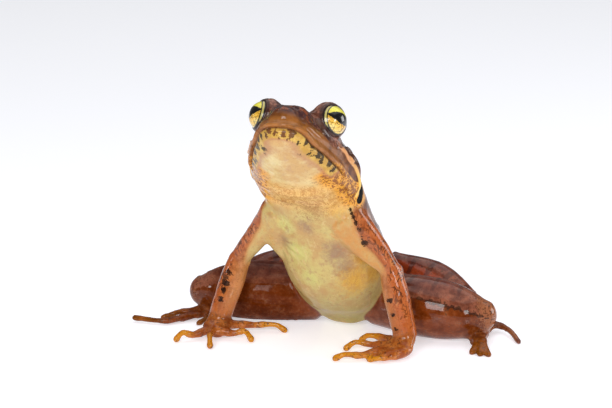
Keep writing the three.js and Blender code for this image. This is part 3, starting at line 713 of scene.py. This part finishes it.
# Pale below: the throat under the lip, and the belly round to the flanks. The chest's band lies level.
# The arm's colour starts at a border, which is given by its distances from the middle plane at heights.
BORDER_HEIGHTS = [18, 22, 24.4, 26.9, 29.3, 31.7, 33.7, 36.5]
BORDER_SIDES = [18.8, 16.4, 14.8, 13.1, 12.3, 11.5, 10.9, 10.3]
jaw = shares["head"] * ramp(-3.4, -4.8, up + 0.9 * ramp(9, 3, forward)) * (forward < 9)
pale_head = jaw + on_head * ramp(0.0, 0.8, lip_down) * (forward >= 9)
thigh_gap = np.minimum(*(limb_fields[name][2] for name in thighs))
border = np.interp(height, BORDER_HEIGHTS, BORDER_SIDES)
over_arm = ramp(-1.0, 0.8, np.abs(skin_points[:, 0]) - border + 0.5 * mottle(skin_points, 2.0, 41))
fold_skin = part_of("armpit", "upper_arm")
fold = fold_skin * (1 - over_arm)
around = ramp(100, 76, belly_angle + 22 * ramp(30, 38, height)) * ramp(-0.2, 1.4, thigh_gap)
pale_body = (shares["trunk"] + fold) * around + 0.6 * part_of("upper_arm") * (1 - over_arm)
belly = np.clip(pale_head + pale_body, 0, 1)
fold = fold * (0.35 + 0.65 * (skin_points[:, 0] > 0))
by_leg = np.clip(leg_skin + shares["trunk"] * ramp(2.6, 0.6, thigh_gap) * ramp(16, 12, height), 0, 1)
throat = np.clip(pale_head, 0, 1) * ramp(39.5, 43, height)
band = belly * within(height, 33.0, 36.5, 40.5, 43.5)

# The cheek is orange below the level of the mouth, from the mouth's corner back to the neck.
cheek = np.clip(core, 0, 1) * within(forward, -9, -5, 9, 12.5)
cheek *= ramp(-7.6, -4.4, up) * ramp(-1.7, -2.7, up - 1.6 * ramp(1, -4, forward))
snout_low = on_head * (1 - throat) * ramp(2.4, -1.0, up) * (0.4 + 0.6 * ramp(12, 20, forward))
dark_top = on_head * ramp(0.2, 2.6, up) * ramp(4, 10, forward)
temple, _ = by_line(face, [[9.6, 9.0, 3.2], [10.9, 5.4, 2.6], [11.9, 2.0, 1.6]])
temple = (1 - temple / 3.0) * ramp(0.5, 1.4, from_stripe) * on_head * ramp(0.8, 2.0, up)
stripe = (1 - from_stripe / (0.9 - 0.15 * ramp(0.45, 1.0, along_stripe))) * stripe_ends
black_mark, _ = by_line(face, [[12.9, -2.4, 0.0], [13.0, -4.0, -2.0], [12.8, -4.9, -4.0]])
black_mark = 1 - black_mark / 1.45

# The lower lip's field follows the mouth, and its length from the middle goes with it.
MOUTH_LINE = [
    [0, 24.9, -2.6], [2, 24.7, -2.6], [4, 23.7, -2.6], [5.3, 21.9, -2.7], [6.4, 19.4, -2.8],
    [7.9, 15, -2.9], [8.9, 12.2, -3.0], [9.8, 9.6, -2.9], [10.8, 6.9, -2.9], [11.5, 3.0, -3.6],
]
_, lip_share = by_line(face, MOUTH_LINE)
lip_along = lip_share * line_length(MOUTH_LINE) * np.sign(head_points[:, 0])
lip_here = on_head * ramp(6.5, 9.0, forward) * within(lip_down, -0.12, 0.03, 2.0, 5.2)
upper_lip = has_mouth * within(lip_down, -2.8, -0.9, -0.3, 0.0)
lids = ramp(3.0, 1.6, eye_past) * (eye_past < 8)
eye_rim = ramp(1.4, 0.5, eye_past) * (eye_past < 8)
eye_rim *= np.maximum(ramp(14.0, 15.4, forward), ramp(4.0, 2.6, up))
eye_stripe = np.maximum(on_head * bell(from_ridge, 1.1) * ridge_ends, eye_rim)

# The limbs. On a thigh a wavy border runs between the upper and the lower colour, held at places along it.
BORDER_ALONG = [0, 0.5, 0.7, 0.82, 0.95, 1.1]
BORDER_LEFT, BORDER_RIGHT = [0.5, 0.52, 0.42, 0.4, 0.25, 0.0], [0.5, 0.5, 0.5, 0.45, 0.4, 0.3]
leg_upper, leg_bars, leg_line, leg_red, knees = np.zeros((5, len(skin_points)))
arm_spots, arm_pale, arm_outer, tips = np.zeros((4, len(skin_points)))
bars = lambda along, wide, *places: np.max([bell(along - place, wide) for place in places], 0)
for name, (along, angle, _, facing) in limb_fields.items():
    part = shares[name]
    left = "_left" in name
    outwards = facing[:, 0] * (1 if left else -1)
    if name.startswith("thigh"):
        line = np.array([BORDER_LEFT if left else BORDER_RIGHT]).T
        waves = 0.07 * np.abs(np.sin(along * 56)) * ramp(0.5, 0.7, along)
        above = facing[:, 2] - (eased(line, BORDER_ALONG, along)[0][:, 0] + waves)
        leg_upper += part * ramp(-0.12, 0.12, above)
        near_border = 1 - np.abs(above) * 7.0 / 1.1
        leg_line += part * near_border * ramp(0.3, 0.6, along) * (1.0 if left else 0.4)
        knees += part * ramp(0.86, 1.04, along + 0.04 * facing[:, 2]) * (1.0 if left else 0.6)
        leg_bars += 0.8 * part * bars(along, 0.035, 0.38, 0.58, 0.78) * ramp(0.5, 0.9, facing[:, 2])
    elif name.startswith("shank"):
        leg_upper += part
        leg_red += part * ramp(0.92, 0.5, facing[:, 2]) * (0.35 + 0.65 * ramp(0.3, -0.3, facing[:, 1]))
        leg_bars += part * bars(along, 0.04, 0.16, 0.36, 0.56, 0.76)
    elif name.startswith("tarsus"):
        leg_upper += 0.6 * part
        leg_bars += part * bars(along, 0.06, 0.3, 0.6)
    elif name.startswith(("upper_arm", "forearm")):
        upper_part = name.startswith("upper_arm")
        row = -148 if left else -90 - 30 * upper_part
        from_row = np.abs((angle - row + 180) % 360 - 180)
        arm_spots += part * ramp(48, 12, from_row) * (ramp(0.05, 0.3, along) if upper_part else 1)
        root = ramp(1.0, 0.1, along) * ramp(0.9, 0.2, facing[:, 1]) * ramp(0.45, -0.1, outwards)
        arm_pale += part * np.maximum(0.55 * ramp(0.2, -0.8, outwards), root * upper_part)
        arm_outer += part * ramp(-0.3, 0.5, outwards)
    elif name.startswith(("finger", "toe")):
        tips += part * ramp(0.3, 0.9, along) * (1.0 if name.startswith("finger") else 0.55)
FIELD_ROUNDS = 10
# The feet's own darker brown, with the right palm painted darker too, as shade.
feet_and_shaded_palm = part_of("sole", "toe") + 0.6 * shares["palm_right"]
arms = part_of("forearm") + fold_skin * over_arm
for _ in range(FIELD_ROUNDS):
    arms, belly, arm_pale, feet_and_shaded_palm = (neighbours_mean(field) for field in (arms, belly, arm_pale, feet_and_shaded_palm))
# The near part of the right thigh, painted darker as shade and given less gloss.
shaded_right_thigh = shares["thigh_right"] * ramp(0.95, 0.75, limb_fields["thigh_right"][0])
back_fold = bell((np.abs(trunk_angle - 90) - fold_angle) * 0.19, 0.75) * ramp(0.02, 0.2, trunk_along)


def marks(*spots):
    """Single marks, each a place and a radius in mm: 1 at the middle of the nearest spot, 0 at its rim, and
    less beyond."""
    fields = [1 - lengths(skin_points - spot[:3]) / spot[3] for spot in spots]
    return np.maximum(np.max(fields, 0), -3.0)


ARM_CHAIN = [
    [10.7, -24.0, 35.0], [11.0, -23.6, 33.7], [11.6, -23.1, 32.0], [12.3, -22.3, 29.6], [13.1, -21.5, 26.9],
]
arm_blobs = marks(
    (13.1, -21.5, 26.9, 0.9), (18.7, -19.1, 13.1, 0.8), (19.6, -19.5, 9.8, 0.7), (20.6, -19.6, 6.4, 0.7),
    (-21.4, -22.7, 15.6, 0.9), (-21.8, -23.5, 12.9, 1.2), (-22.3, -24.0, 11.4, 0.9), (-22.8, -24.5, 9.0, 0.9),
)
from_chain, along_chain = by_line(skin_points, ARM_CHAIN)
arm_blobs = np.maximum(arm_blobs, 0.6 + 0.22 * np.sin(37 * along_chain) - from_chain / 0.68)
chest_dark = marks((2.6, -26.8, 35.4, 5.5), (-3.4, -28.0, 36.6, 3.0))
# Grey purple patches on the belly beside the arms and on the chest: partly mottling, partly painted shade.
belly_grey_and_shade = marks(
    (6.3, -21.6, 23.6, 4.6), (7.6, -19.4, 19.6, 4.0), (0.5, -24.6, 30.6, 3.2), (-6.8, -21.0, 25.4, 3.0),
)
belly_green = marks((-3.6, -22.2, 22.8, 5.2), (-1.0, -19.6, 16.4, 4.6), (-5.2, -24.2, 30.0, 3.6))
belly_gold = marks(
    (9.8, -16.2, 15.6, 5.4), (12.2, -13.6, 17.4, 4.6), (11.4, -17.0, 22.0, 3.2), (8.4, -26.0, 36.2, 3.4),
    (-9.0, -27.6, 36.6, 3.0),
)


def keep(mesh, name, *columns):
    """Fields kept on a mesh's points, three together."""
    values = np.stack(columns, -1).astype(np.float32)
    mesh.attributes.new(name, "FLOAT_VECTOR", "POINT").data.foreach_set("vector", values.ravel())


outward(skin_points * MM)
skin_mesh.polygons.foreach_set("use_smooth", np.ones(len(skin_mesh.polygons), bool))
for name, columns in {
    "ground": (arms, by_leg, extremities),
    "pale": (throat, belly, band),
    "head": (snout_low, dark_top, lids),
    "cheek": (on_head, cheek, temple),
    "lip": (lip_along, lip_down, lip_here),
    "marks": (stripe, along_stripe, black_mark),
    "limb": (leg_upper, leg_bars, leg_line),
    "arm": (arm_spots, arm_pale, tips),
    "folds": (np.clip(crease / 1.2, 0, 1), eye_past, bell(near_nostril, 0.42) * on_head),
    "edges": (has_mouth * bell(lip_down, 0.2), upper_lip, height),
    "stains": (chest_dark, belly_grey_and_shade, belly_green),
    "more": (belly_gold, arm_blobs, arm_outer),
    "ends": (knees, feet_and_shaded_palm, leg_red),
    "web": (fold, eye_stripe, on_trunk * back_fold),
    "right": (shaded_right_thigh, shaded_right_thigh, shaded_right_thigh),
}.items():
    keep(skin_mesh, name, *columns)

# ---- The skin's paint.


class Tone:
    """One output of a paint's nodes. Arithmetic on it adds the Math nodes that work it out."""

    def __init__(self, paint, socket):
        self.paint, self.socket = paint, socket

    def sum(self, operation, *values):
        return self.paint.node("ShaderNodeMath", {"operation": operation}, dict(enumerate(values)))

    def __add__(self, other):
        return self.sum("ADD", self, other)

    def __mul__(self, other):
        return self.sum("MULTIPLY", self, other)

    def __sub__(self, other):
        return self.sum("SUBTRACT", self, other)

    def __rsub__(self, other):
        return self.sum("SUBTRACT", other, self)

    __radd__, __rmul__ = __add__, __mul__

    def size(self):
        return self.sum("ABSOLUTE", self)

    def step(self, low, high):
        """0 below low, 1 above high, eased between; low may be the greater."""
        settings = {"interpolation_type": "SMOOTHSTEP", "clamp": True}
        return self.paint.node("ShaderNodeMapRange", settings, {0: self, 1: low, 2: high})


def colour(red, green, blue):
    """A screen colour from 0 to 255 as the linear colour that paint is mixed in."""
    shares = [c / 255 for c in (red, green, blue)]
    return (*(c / 12.92 if c <= 0.04 else ((c + 0.055) / 1.055) ** 2.4 for c in shares), 1.0)


class Paint:
    """A material and the nodes that mix its colours."""

    def __init__(self, name, **constants):
        self.material = bpy.data.materials.new(name)
        self.material.use_nodes = True
        self.nodes, self.links = self.material.node_tree.nodes, self.material.node_tree.links
        self.shader = self.nodes["Principled BSDF"]
        for socket, value in constants.items():
            self.shader.inputs[socket.replace("_", " ")].default_value = value

    def node(self, kind, settings, inputs, output=0):
        """Adds a node of this type, makes its settings first, then fills its inputs with values or links."""
        made = self.nodes.new(kind)
        for setting, value in settings.items():
            setattr(made, setting, value)
        for key, value in inputs.items():
            if isinstance(value, Tone):
                self.links.new(value.socket, made.inputs[key])
            else:
                made.inputs[key].default_value = value
        return Tone(self, made.outputs[output])

    def mix(self, share, a, b):
        """Colour a where share is 0, b where it is 1; each is a node's, or red, green and blue to 255."""
        a, b = (c if isinstance(c, Tone) else colour(*c) for c in (a, b))
        settings = {"data_type": "RGBA", "clamp_factor": True}
        return self.node("ShaderNodeMix", settings, {0: share, 6: a, 7: b}, 2)

    def over(self, tone, *layers):
        """A colour with others laid over it in turn, each given as its share and its colour."""
        for share, layer in layers:
            tone = self.mix(share, tone, layer)
        return tone

    def noise(self, place, per_mm, detail=3.0, rough=0.55, twist=0.0):
        """Cloudy value round 0, about -0.25 to 0.25, with so many clouds to the millimetre."""
        inputs = {"Vector": place, "Scale": per_mm, "Detail": detail, "Roughness": rough, "Distortion": twist}
        return self.node("ShaderNodeTexNoise", {}, inputs) - 0.5

    def kept(self, name):
        """The three fields kept on the points under this name."""
        attribute = self.node("ShaderNodeAttribute", {"attribute_name": name}, {}, 1)
        return [self.node("ShaderNodeSeparateXYZ", {}, {0: attribute}, i) for i in range(3)]

    def scaled(self, vector, by):
        return self.node("ShaderNodeVectorMath", {"operation": "MULTIPLY"}, {0: vector, 1: by})

    def finish(self, **inputs):
        for socket, tone in inputs.items():
            self.links.new(tone.socket, self.shader.inputs[socket.replace("_", " ")])


paint = Paint(
    "frog_skin", Subsurface_Weight=0.06, Subsurface_Scale=0.001, Subsurface_Radius=(1.0, 0.45, 0.25),
    Coat_Roughness=0.06, Coat_IOR=1.34, IOR=1.3, Specular_IOR_Level=0.0,
)
place = paint.scaled(paint.node("ShaderNodeTexCoord", {}, {}, 3), (1000, 1000, 1000))
arms_on, legs_on, ends_on = paint.kept("ground")
throat_on, belly_on, band_on = paint.kept("pale")
low_on, dark_on, lids_on = paint.kept("head")
head_on, cheek_on, temple_on = paint.kept("cheek")
lip_x, lip_y, lip_on = paint.kept("lip")
stripe_on, stripe_far, mark_on = paint.kept("marks")
leg_top, bars_on, line_on = paint.kept("limb")
arm_dark, arm_light, tips_on = paint.kept("arm")
crease_shade, past_lid, nostril_shade = paint.kept("folds")
mouth_line_shade, lip_top, above_floor = paint.kept("edges")
chest_dark, belly_grey_and_shade, belly_green = paint.kept("stains")
belly_gold, blobs_on, arm_outer = paint.kept("more")
knees_on, feet_and_shaded_palm_on, red_on = paint.kept("ends")
fold_on, eye_stripe_on, back_fold_on = paint.kept("web")
shaded_right_thigh_on = paint.kept("right")[0]

clouds = paint.noise(place, 0.16, 4.0, 0.6)
patches = paint.noise(place, 0.45, 4.0, 0.6)
flecks = paint.noise(place, 1.3, 3.0, 0.6)
grain = paint.noise(place, 3.2, 2.0, 0.6)
streaks = paint.noise(paint.scaled(place, (0.5, 0.5, 0.16)), 1.0, 3.0, 0.6, 1.5)
winding = paint.noise(paint.scaled(place, (1.0, 1.0, 0.6)), 0.6, 2.0, 0.5, 0.8).size()
specks = paint.noise(place, 2.2, 1.0, 0.5)
edge = 0.55 * patches + 0.45 * flecks

# Back: brown with dark clouds and dots, and paler along its two side folds.
brown = paint.over(
    paint.mix((2.2 * clouds + 1.4 * patches + 0.5).step(0.1, 0.9), (74, 40, 26), (122, 76, 46)),
    ((1.3 * patches + clouds + 0.4 * flecks).step(0.13, 0.2) * 0.75, (46, 27, 20)),
    ((flecks + 0.5 * grain).step(0.13, 0.2) * 0.8, (46, 27, 21)),
    ((back_fold_on + 0.9 * edge).step(0.35, 0.8) * 0.7, (150, 98, 56)),
)

# Head: red brown, tan low on the snout, with purple patches and red streaks on top.
purple = 0.4 * dark_on + 1.6 * patches + 0.7 * flecks
reds = 0.24 * dark_on - 1.6 * patches + 0.9 * flecks + 0.6 * grain
snout = paint.over(
    paint.mix((1.6 * clouds + 2 * patches + 0.5).step(0.2, 0.85), (78, 38, 18), (118, 68, 34)),
    (low_on * (1.5 * patches + 0.8).step(0.2, 0.9) * 0.85, (154, 96, 40)),
    (purple.step(0.18, 0.34) * dark_on * 0.9, (54, 32, 38)),
    (reds.step(0.28, 0.42) * dark_on * 0.6, (158, 80, 42)),
    ((flecks + 0.7 * grain).step(0.14, 0.24) * 0.5, (70, 40, 30)),
)

# Legs: dark orange below, a redder brown above, dark crossbars, a broken line between the two, and tan knees
# speckled with brown. The right thigh is painted darker than the left, as shade.
leg_high = paint.over(
    paint.mix((2.4 * patches + 0.5).step(0.15, 0.85), (102, 54, 38), (142, 82, 60)),
    ((clouds + 0.8 * streaks).step(0.06, 0.3) * 0.5, (156, 72, 40)),
    (above_floor.step(11, 15) * 0.6, (94, 44, 42)),
    ((red_on + 0.9 * edge).step(0.2, 0.9) * 0.85, (158, 58, 18)),
)
broken = (line_on + 1.4 * patches + 1.4 * flecks + 0.8 * grain).step(0.6, 0.76)
leg_dots = flecks + 0.7 * specks + 0.4 * patches + 0.04 * leg_top + 0.1 * knees_on
leg_tone = paint.over(
    paint.mix((patches + clouds + 0.5).step(0.2, 0.8), (88, 34, 4), (122, 54, 14)),
    ((leg_top + 0.5 * edge).step(0.42, 0.58), leg_high),
    ((bars_on + 1.6 * edge).step(0.5, 0.75) * 0.7, (70, 34, 30)),
    ((0.6 * knees_on + 0.9 * flecks + 0.8 * grain).step(0.3, 0.55) * 0.7, (158, 98, 62)),
    (broken * line_on.step(-0.5, 0.3) * 0.9, (46, 22, 14)),
    (leg_dots.step(0.2, 0.27) * 0.8, (46, 22, 16)),
    ((grain - 0.6 * flecks).step(0.2, 0.3) * 0.4, (172, 104, 60)),
    # Painted shade on the right thigh.
    (shaded_right_thigh_on * 0.45, (66, 24, 6)),
)

# Belly and throat: cream, with faint yellow green and purple clouds, orange towards the flanks, and painted
# darker low down as shade. The chest's band is golden, closely grained with brown.
throat_tone = paint.over(
    paint.mix((2 * clouds + patches + 0.5).step(0.2, 0.8), (196, 158, 104), (214, 194, 142)),
    ((streaks + patches - clouds).step(0.1, 0.35) * 0.4, (178, 142, 112)),
)
veins = winding.step(0.06, 0.015) * (belly_gold + 1.4 * edge).step(-0.4, 0.4)
flank = (belly_on + 0.3 * edge).step(0.95, 0.45) * above_floor.step(6, 16)
band_grain = (0.5 * band_on + 1.2 * streaks + 0.8 * flecks + 1.3 * grain).step(0.3, 0.7) * band_on
belly_tone = paint.over(
    paint.mix((2.4 * clouds + 1.4 * patches + 0.5).step(0.15, 0.85), (184, 148, 96), (192, 172, 110)),
    ((belly_green + 1.8 * edge + streaks).step(-0.1, 0.9) * 0.85, (194, 188, 112)),
    ((1.4 * streaks + 0.5 * patches - 0.3 * flecks).step(0.06, 0.3) * 0.5, (206, 186, 134)),
    ((1.5 * patches + clouds - 0.9 * streaks).step(0.1, 0.36) * 0.5, (164, 122, 92)),
    # Grey purple patches by the arms: partly mottling, partly painted shade.
    ((belly_grey_and_shade + 2.2 * edge + streaks).step(-0.1, 1.0) * 0.75, (136, 106, 92)),
    ((belly_gold + 1.8 * edge + streaks).step(-0.3, 0.9) * 0.7, (202, 148, 50)),
    (veins * 0.3, (222, 184, 84)),
    # Painted shade: the belly is darkened towards the floor.
    (above_floor.step(15, 3) * 0.55, (134, 124, 64)),
    (flank * 0.7, (200, 136, 70)),
    ((fold_on + 1.8 * edge + 2.2 * streaks + 0.8 * patches).step(0.1, 1.3) * 0.75, (196, 132, 66)),
    (throat_on, throat_tone),
    (band_on * 0.75, (222, 178, 110)),
    (band_grain * 0.6, (170, 108, 44)),
    ((chest_dark + 1.4 * edge + 1.6 * grain + 0.6 * flecks).step(0.1, 1.0) * 0.55, (132, 82, 44)),
    ((grain + 0.6 * specks).step(0.08, 0.3) * 0.3, (132, 92, 56)),
)

# Arms: red orange outside, tan inside and paler at the shoulder, with brown clouds, dark dots and thin
# winding lines, and dark orange at the wrist.
arm_lines = winding.step(0.06, 0.022) * (patches + 0.6 * flecks).step(-0.1, 0.02)
arm_tone = paint.over(
    paint.mix((2 * patches + clouds + 0.5).step(0.2, 0.8), (146, 82, 42), (186, 112, 62)),
    ((arm_outer + 0.9 * edge).step(0.0, 0.9) * 0.7, (176, 88, 44)),
    ((arm_light + 0.5 * edge).step(0.15, 0.95), (200, 144, 84)),
    ((streaks + 0.5 * flecks).step(0.08, 0.2) * 0.45, (206, 140, 84)),
    ((1.2 * patches + 1.4 * flecks + 0.6 * grain).step(0.06, 0.3) * (0.5 * arm_outer + 0.1), (112, 54, 28)),
    (arm_lines * (0.8 * arm_outer + 0.1), (64, 28, 16)),
    ((0.18 * arm_dark + 0.9 * flecks + 0.7 * patches).step(0.3, 0.36) * 0.85, (64, 28, 14)),
    (above_floor.step(17, 4) * (patches + 0.5).step(0.25, 0.65) * 0.7, (172, 84, 14)),
    ((grain + 0.8 * specks).step(0.14, 0.26) * 0.5, (108, 52, 26)),
)
blobs_here = (blobs_on + 2.2 * patches + 1.8 * flecks + 1.2 * grain).step(0.12, 0.3)

# Hands and feet: ochre, speckled with brown, yellow at the fingertips; the feet are a darker brown, and the
# right palm is painted darker as shade.
cloudy = (2.2 * patches + 0.5).step(0.2, 0.8)
hand_tone = paint.over(
    paint.mix(cloudy, (142, 68, 24), (182, 104, 40)),
    (feet_and_shaded_palm_on * 0.95, paint.mix(cloudy, (76, 26, 5), (114, 48, 12))),
    ((tips_on + 0.5 * flecks).step(0.2, 0.9) * (0.95 - 0.6 * feet_and_shaded_palm_on), (196, 126, 16)),
    ((flecks + 0.5 * patches + 0.8 * specks).step(0.1, 0.18) * 0.8, (80, 40, 18)),
)

# Cheek: orange under the level of the mouth, with brown dots that are closer higher up.
cheek_dots = (flecks + 0.3 * patches + 0.7 * grain + 0.22 * cheek_on).step(0.14, 0.24)
cheek_tone = paint.mix(cheek_dots * 0.9, (216, 152, 62), (120, 68, 34))

# The lower lip is yellow, with black blobs at its sides and brown bars in front.
lip_yellow = paint.mix((streaks + patches).step(-0.1, 0.2), (184, 142, 66), (206, 168, 84))
blob_place = {0: 0.46 * lip_x + flecks + 0.9 * patches, 1: 0.27 * lip_y + 1.2 * patches, 2: 0.0}
blob_place = paint.node("ShaderNodeCombineXYZ", {}, blob_place)
blob_inputs = {"Vector": blob_place, "Scale": 1.0, "Randomness": 0.85}
blobs = paint.node("ShaderNodeTexVoronoi", {"voronoi_dimensions": "2D"}, blob_inputs)
blobs = blobs - 0.8 * patches + 0.5 * flecks + 0.35 * grain + 0.1 * lip_y
blobs = blobs.step(0.53, 0.4) * (lip_on + 0.5 * edge).step(0.3, 0.6)
blob_tone = paint.mix(lip_x.size().step(7.0, 3.5), (26, 16, 14), (96, 54, 36))

# All together, from the ground colour up. The head's marks lie on top: the upper lip's pale streaks, the
# lower lip with its pink brown inner edge, painted shade along the line of the mouth, the dark temple, the
# pale stripe on the lip, the black mark under its end, the lids, and painted shade in the nostrils and the
# creases.
mark_edge = mark_on + 0.5 * edge
stripe_tone = paint.mix(stripe_far.step(0.3, 0.75), (206, 144, 92), (236, 186, 92))
lid_tone = paint.mix((1.6 * patches + 1.4 * flecks + 0.5).step(0.3, 0.75), (98, 58, 46), (164, 112, 92))
skin_tone = paint.over(
    paint.mix(head_on, brown, snout),
    (legs_on, leg_tone),
    ((belly_on + 0.3 * edge).step(0.3, 0.65), belly_tone),
    (arms_on.step(0.1, 0.9), arm_tone),
    (blobs_here * 0.96, (20, 10, 8)),
    (ends_on, hand_tone),
    ((cheek_on + 0.4 * edge).step(0.12, 0.6), cheek_tone),
    (lip_top * (2 * patches + 0.6).step(0.1, 0.8) * 0.5, (168, 108, 52)),
    ((lip_on + 0.9 * edge).step(-0.05, 0.45) * 0.7, (170, 112, 76)),
    ((lip_on + 0.8 * edge).step(0.4, 1.0), lip_yellow),
    (blobs * 0.9, blob_tone),
    # Painted shade along the mouth's groove, under the overhanging upper lip.
    (mouth_line_shade.step(0.4, 1.0) * 0.5, (84, 48, 26)),
    ((temple_on + 0.7 * edge).step(0.1, 0.6) * 0.65, (50, 30, 28)),
    ((stripe_on + 0.35 * edge).step(0.15, 0.4), stripe_tone),
    (mark_edge.step(0.02, 0.12), (214, 146, 50)),
    (mark_edge.step(0.2, 0.3), (7, 5, 5)),
    (lids_on * 0.85, lid_tone),
    ((eye_stripe_on + 1.4 * edge + 0.4 * grain).step(0.35, 0.8) * 0.75, (42, 26, 26)),
    (past_lid.step(0.42, 0.12) * 0.9, (36, 26, 24)),
    # Painted shade inside the nostril pits.
    (nostril_shade.step(0.25, 0.8), (26, 16, 14)),
    # Painted shade in the creases, deeper where the skin was filled more.
    (crease_shade.step(0.3, 1.0) * (1 - belly_on) * 0.3, (70, 34, 18)),
)

# The skin is wet: a gloss coat, thinner on the belly, the black marks, the right thigh and the feet.
fine_relief = {"Strength": 0.45, "Distance": 0.00035, "Height": 0.25 * flecks + 0.6 * grain}
wet = 1.0 + 0.6 * patches - 0.3 * belly_on - 0.7 * mark_edge.step(0.15, 0.35)
wet = wet - 0.6 * blobs_here - 0.75 * shaded_right_thigh_on - 0.4 * feet_and_shaded_palm_on
bump = paint.node("ShaderNodeBump", {}, fine_relief)
paint.finish(Base_Color=skin_tone, Roughness=0.5 + 0.5 * patches, Coat_Weight=wet, Normal=bump)
skin_mesh.materials.clear()
skin_mesh.materials.append(paint.material)
skin = placed("skin", skin_mesh)
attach(skin, "root")
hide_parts(*[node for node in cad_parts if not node.startswith("eye")])

# ======================================================================= Eyes
# Each eye is a wet ball with a clear swelling in front, set under its lids. The iris is gold below and
# yellow green above, netted with black, and paler cream low down, partly its own colour and partly a painted
# reflection. The pupil is a wide dark lens lying level.

EYE_RAISED, EYE_SWELLING, EYE_FACES = 0.1, 0.055, (94, 128)
GAZE_TURN, GAZE_LIFT = 60.0, 0.0
PUPIL_WIDE, PUPIL_HIGH = 0.8, 0.31
eye_paint = Paint("frog_eye", Roughness=0.22, Coat_Weight=0.7, Coat_Roughness=0.03, Coat_IOR=1.45, IOR=1.4)
level, rise, ahead = eye_paint.kept("gaze")
vein_place = eye_paint.node("ShaderNodeCombineXYZ", {}, {0: level, 1: rise, 2: ahead})
vein_inputs = {"Vector": vein_place, "Scale": 4.6, "Randomness": 1.0}
veins = eye_paint.node("ShaderNodeTexVoronoi", {"feature": "DISTANCE_TO_EDGE"}, vein_inputs)
fine = eye_paint.noise(vein_place, 14.0, 3.0, 0.6)
soft = eye_paint.noise(vein_place, 3.0, 3.0, 0.6)
across_pupil, up_pupil = level * (1 / PUPIL_WIDE), rise * (1 / PUPIL_HIGH)
shape = across_pupil.sum("POWER", across_pupil.size(), 1.6) + up_pupil.sum("POWER", up_pupil.size(), 1.5)
net = (veins + 0.12 * fine).step(0.055, 0.02) * (-1 * rise + 0.5 * soft).step(0.1, 0.3)
crescent = (ahead - 0.495).size().step(0.06, 0.04) * (-1 * level).step(0.45, 0.7)
eye_tone = eye_paint.over(
    eye_paint.mix((rise + 0.4 * soft).step(-0.1, 0.15), (226, 166, 44), (232, 226, 66)),
    ((2 * fine + 0.5).step(0.3, 0.8) * 0.45, (248, 222, 104)),
    # Paler cream low on the iris: partly the iris's own colour, partly a painted reflection.
    ((-0.9 * rise + 0.9 * soft).step(0.3, 0.7) * 0.5, (244, 234, 160)),
    (net * 0.85, (60, 40, 10)),
    ((shape - 2.0 * soft).step(1.7, 1.1) * 0.25, (130, 92, 22)),
    ((ahead + 0.04 * soft).step(0.63, 0.585), (26, 18, 12)),
    (crescent * 0.9, (196, 182, 104)),
    ((shape + 0.4 * fine).step(1.12, 0.98), (6, 5, 5)),
)
eye_paint.finish(Base_Color=eye_tone)

for side, name in ((1, "left"), (-1, "right")):
    look, level_way, rise_way = gaze(side, GAZE_TURN, GAZE_LIFT)
    aims, faces = ball(0.0, 1.0, *EYE_FACES)
    ahead_share = aims @ look
    radius = EYE_RADIUS * (1 + EYE_SWELLING * ramp(0.62, 1.0, ahead_share))
    points = from_head(eye_middle(side) + [0, 0, EYE_RAISED] + aims * radius[:, None])
    eye = placed("eye_" + name + "_ball", mesh_of("eye_" + name + "_ball", points * MM, faces))
    keep(eye.data, "gaze", aims @ level_way, aims @ rise_way, ahead_share)
    eye.data.polygons.foreach_set("use_smooth", np.ones(len(faces), bool))
    eye.data.materials.append(eye_paint.material)
    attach(eye, "root")
    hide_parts("eye_" + name)

# ======================================================================= Floor, light and camera
# A pale floor under white light from all round, with one wide lamp above, one low in front and three
# weaker ones at the sides.

FLOOR_REACH = 2.0
corners = FLOOR_REACH * np.array([[-1, -1, 0], [1, -1, 0], [1, 1, 0], [-1, 1, 0]])
floor = placed("floor", mesh_of("floor", corners, [[0, 1, 2, 3]]))
floor_paint = Paint(
    "pale_floor", Roughness=0.22, Base_Color=(0.87, 0.89, 0.95, 1),
    Emission_Color=(0.97, 0.97, 1.0, 1), Emission_Strength=0.48,
)
floor.data.materials.append(floor_paint.material)
world = bpy.data.worlds.new("white")
bpy.context.scene.world = world
world.use_nodes = True
background = world.node_tree.nodes["Background"]
background.inputs["Color"].default_value = (1, 1, 1, 1)
background.inputs["Strength"].default_value = 0.18
bpy.context.scene.view_settings.view_transform = "Standard"


def lamp(name, place, watts, wide):
    """A square area lamp that faces the frog."""
    light = bpy.data.lights.new(name, "AREA")
    light.energy, light.size = watts, wide
    lamp_object = placed(name, light)
    lamp_object.location = place
    lamp_object.rotation_euler = (Vector(place) - Vector((0, -0.01, 0.03))).to_track_quat("Z", "Y").to_euler()


lamp("overhead", (0.0, 0.35, 1.3), 12.0, 1.9)
lamp("front", (0.05, -0.49, 0.24), 1.4, 0.22)
lamp("fill", (0.40, -0.32, 0.20), 0.75, 0.14)
lamp("left", (0.46, 0.30, 0.16), 0.9, 0.22)
lamp("right", (-0.42, -0.30, 0.14), 0.14, 0.05)

AZIMUTH, ELEVATION, DISTANCE = math.radians(26.2), math.radians(14), 0.350
AIM_RIGHT, AIM_HEIGHT = -0.0109, 0.0295
camera_data = bpy.data.cameras.new("camera")
camera_data.sensor_width, camera_data.lens = 36, 84.53
camera = placed("camera", camera_data)
right = Vector((math.cos(AZIMUTH), math.sin(AZIMUTH), 0))
outwards = Vector((math.sin(AZIMUTH), -math.cos(AZIMUTH), 0))
back = outwards * math.cos(ELEVATION) + Vector((0, 0, math.sin(ELEVATION)))
camera.location = right * AIM_RIGHT + Vector((0, 0, AIM_HEIGHT)) + back * DISTANCE
camera.rotation_euler = back.to_track_quat("Z", "Y").to_euler()
bpy.context.scene.camera = camera
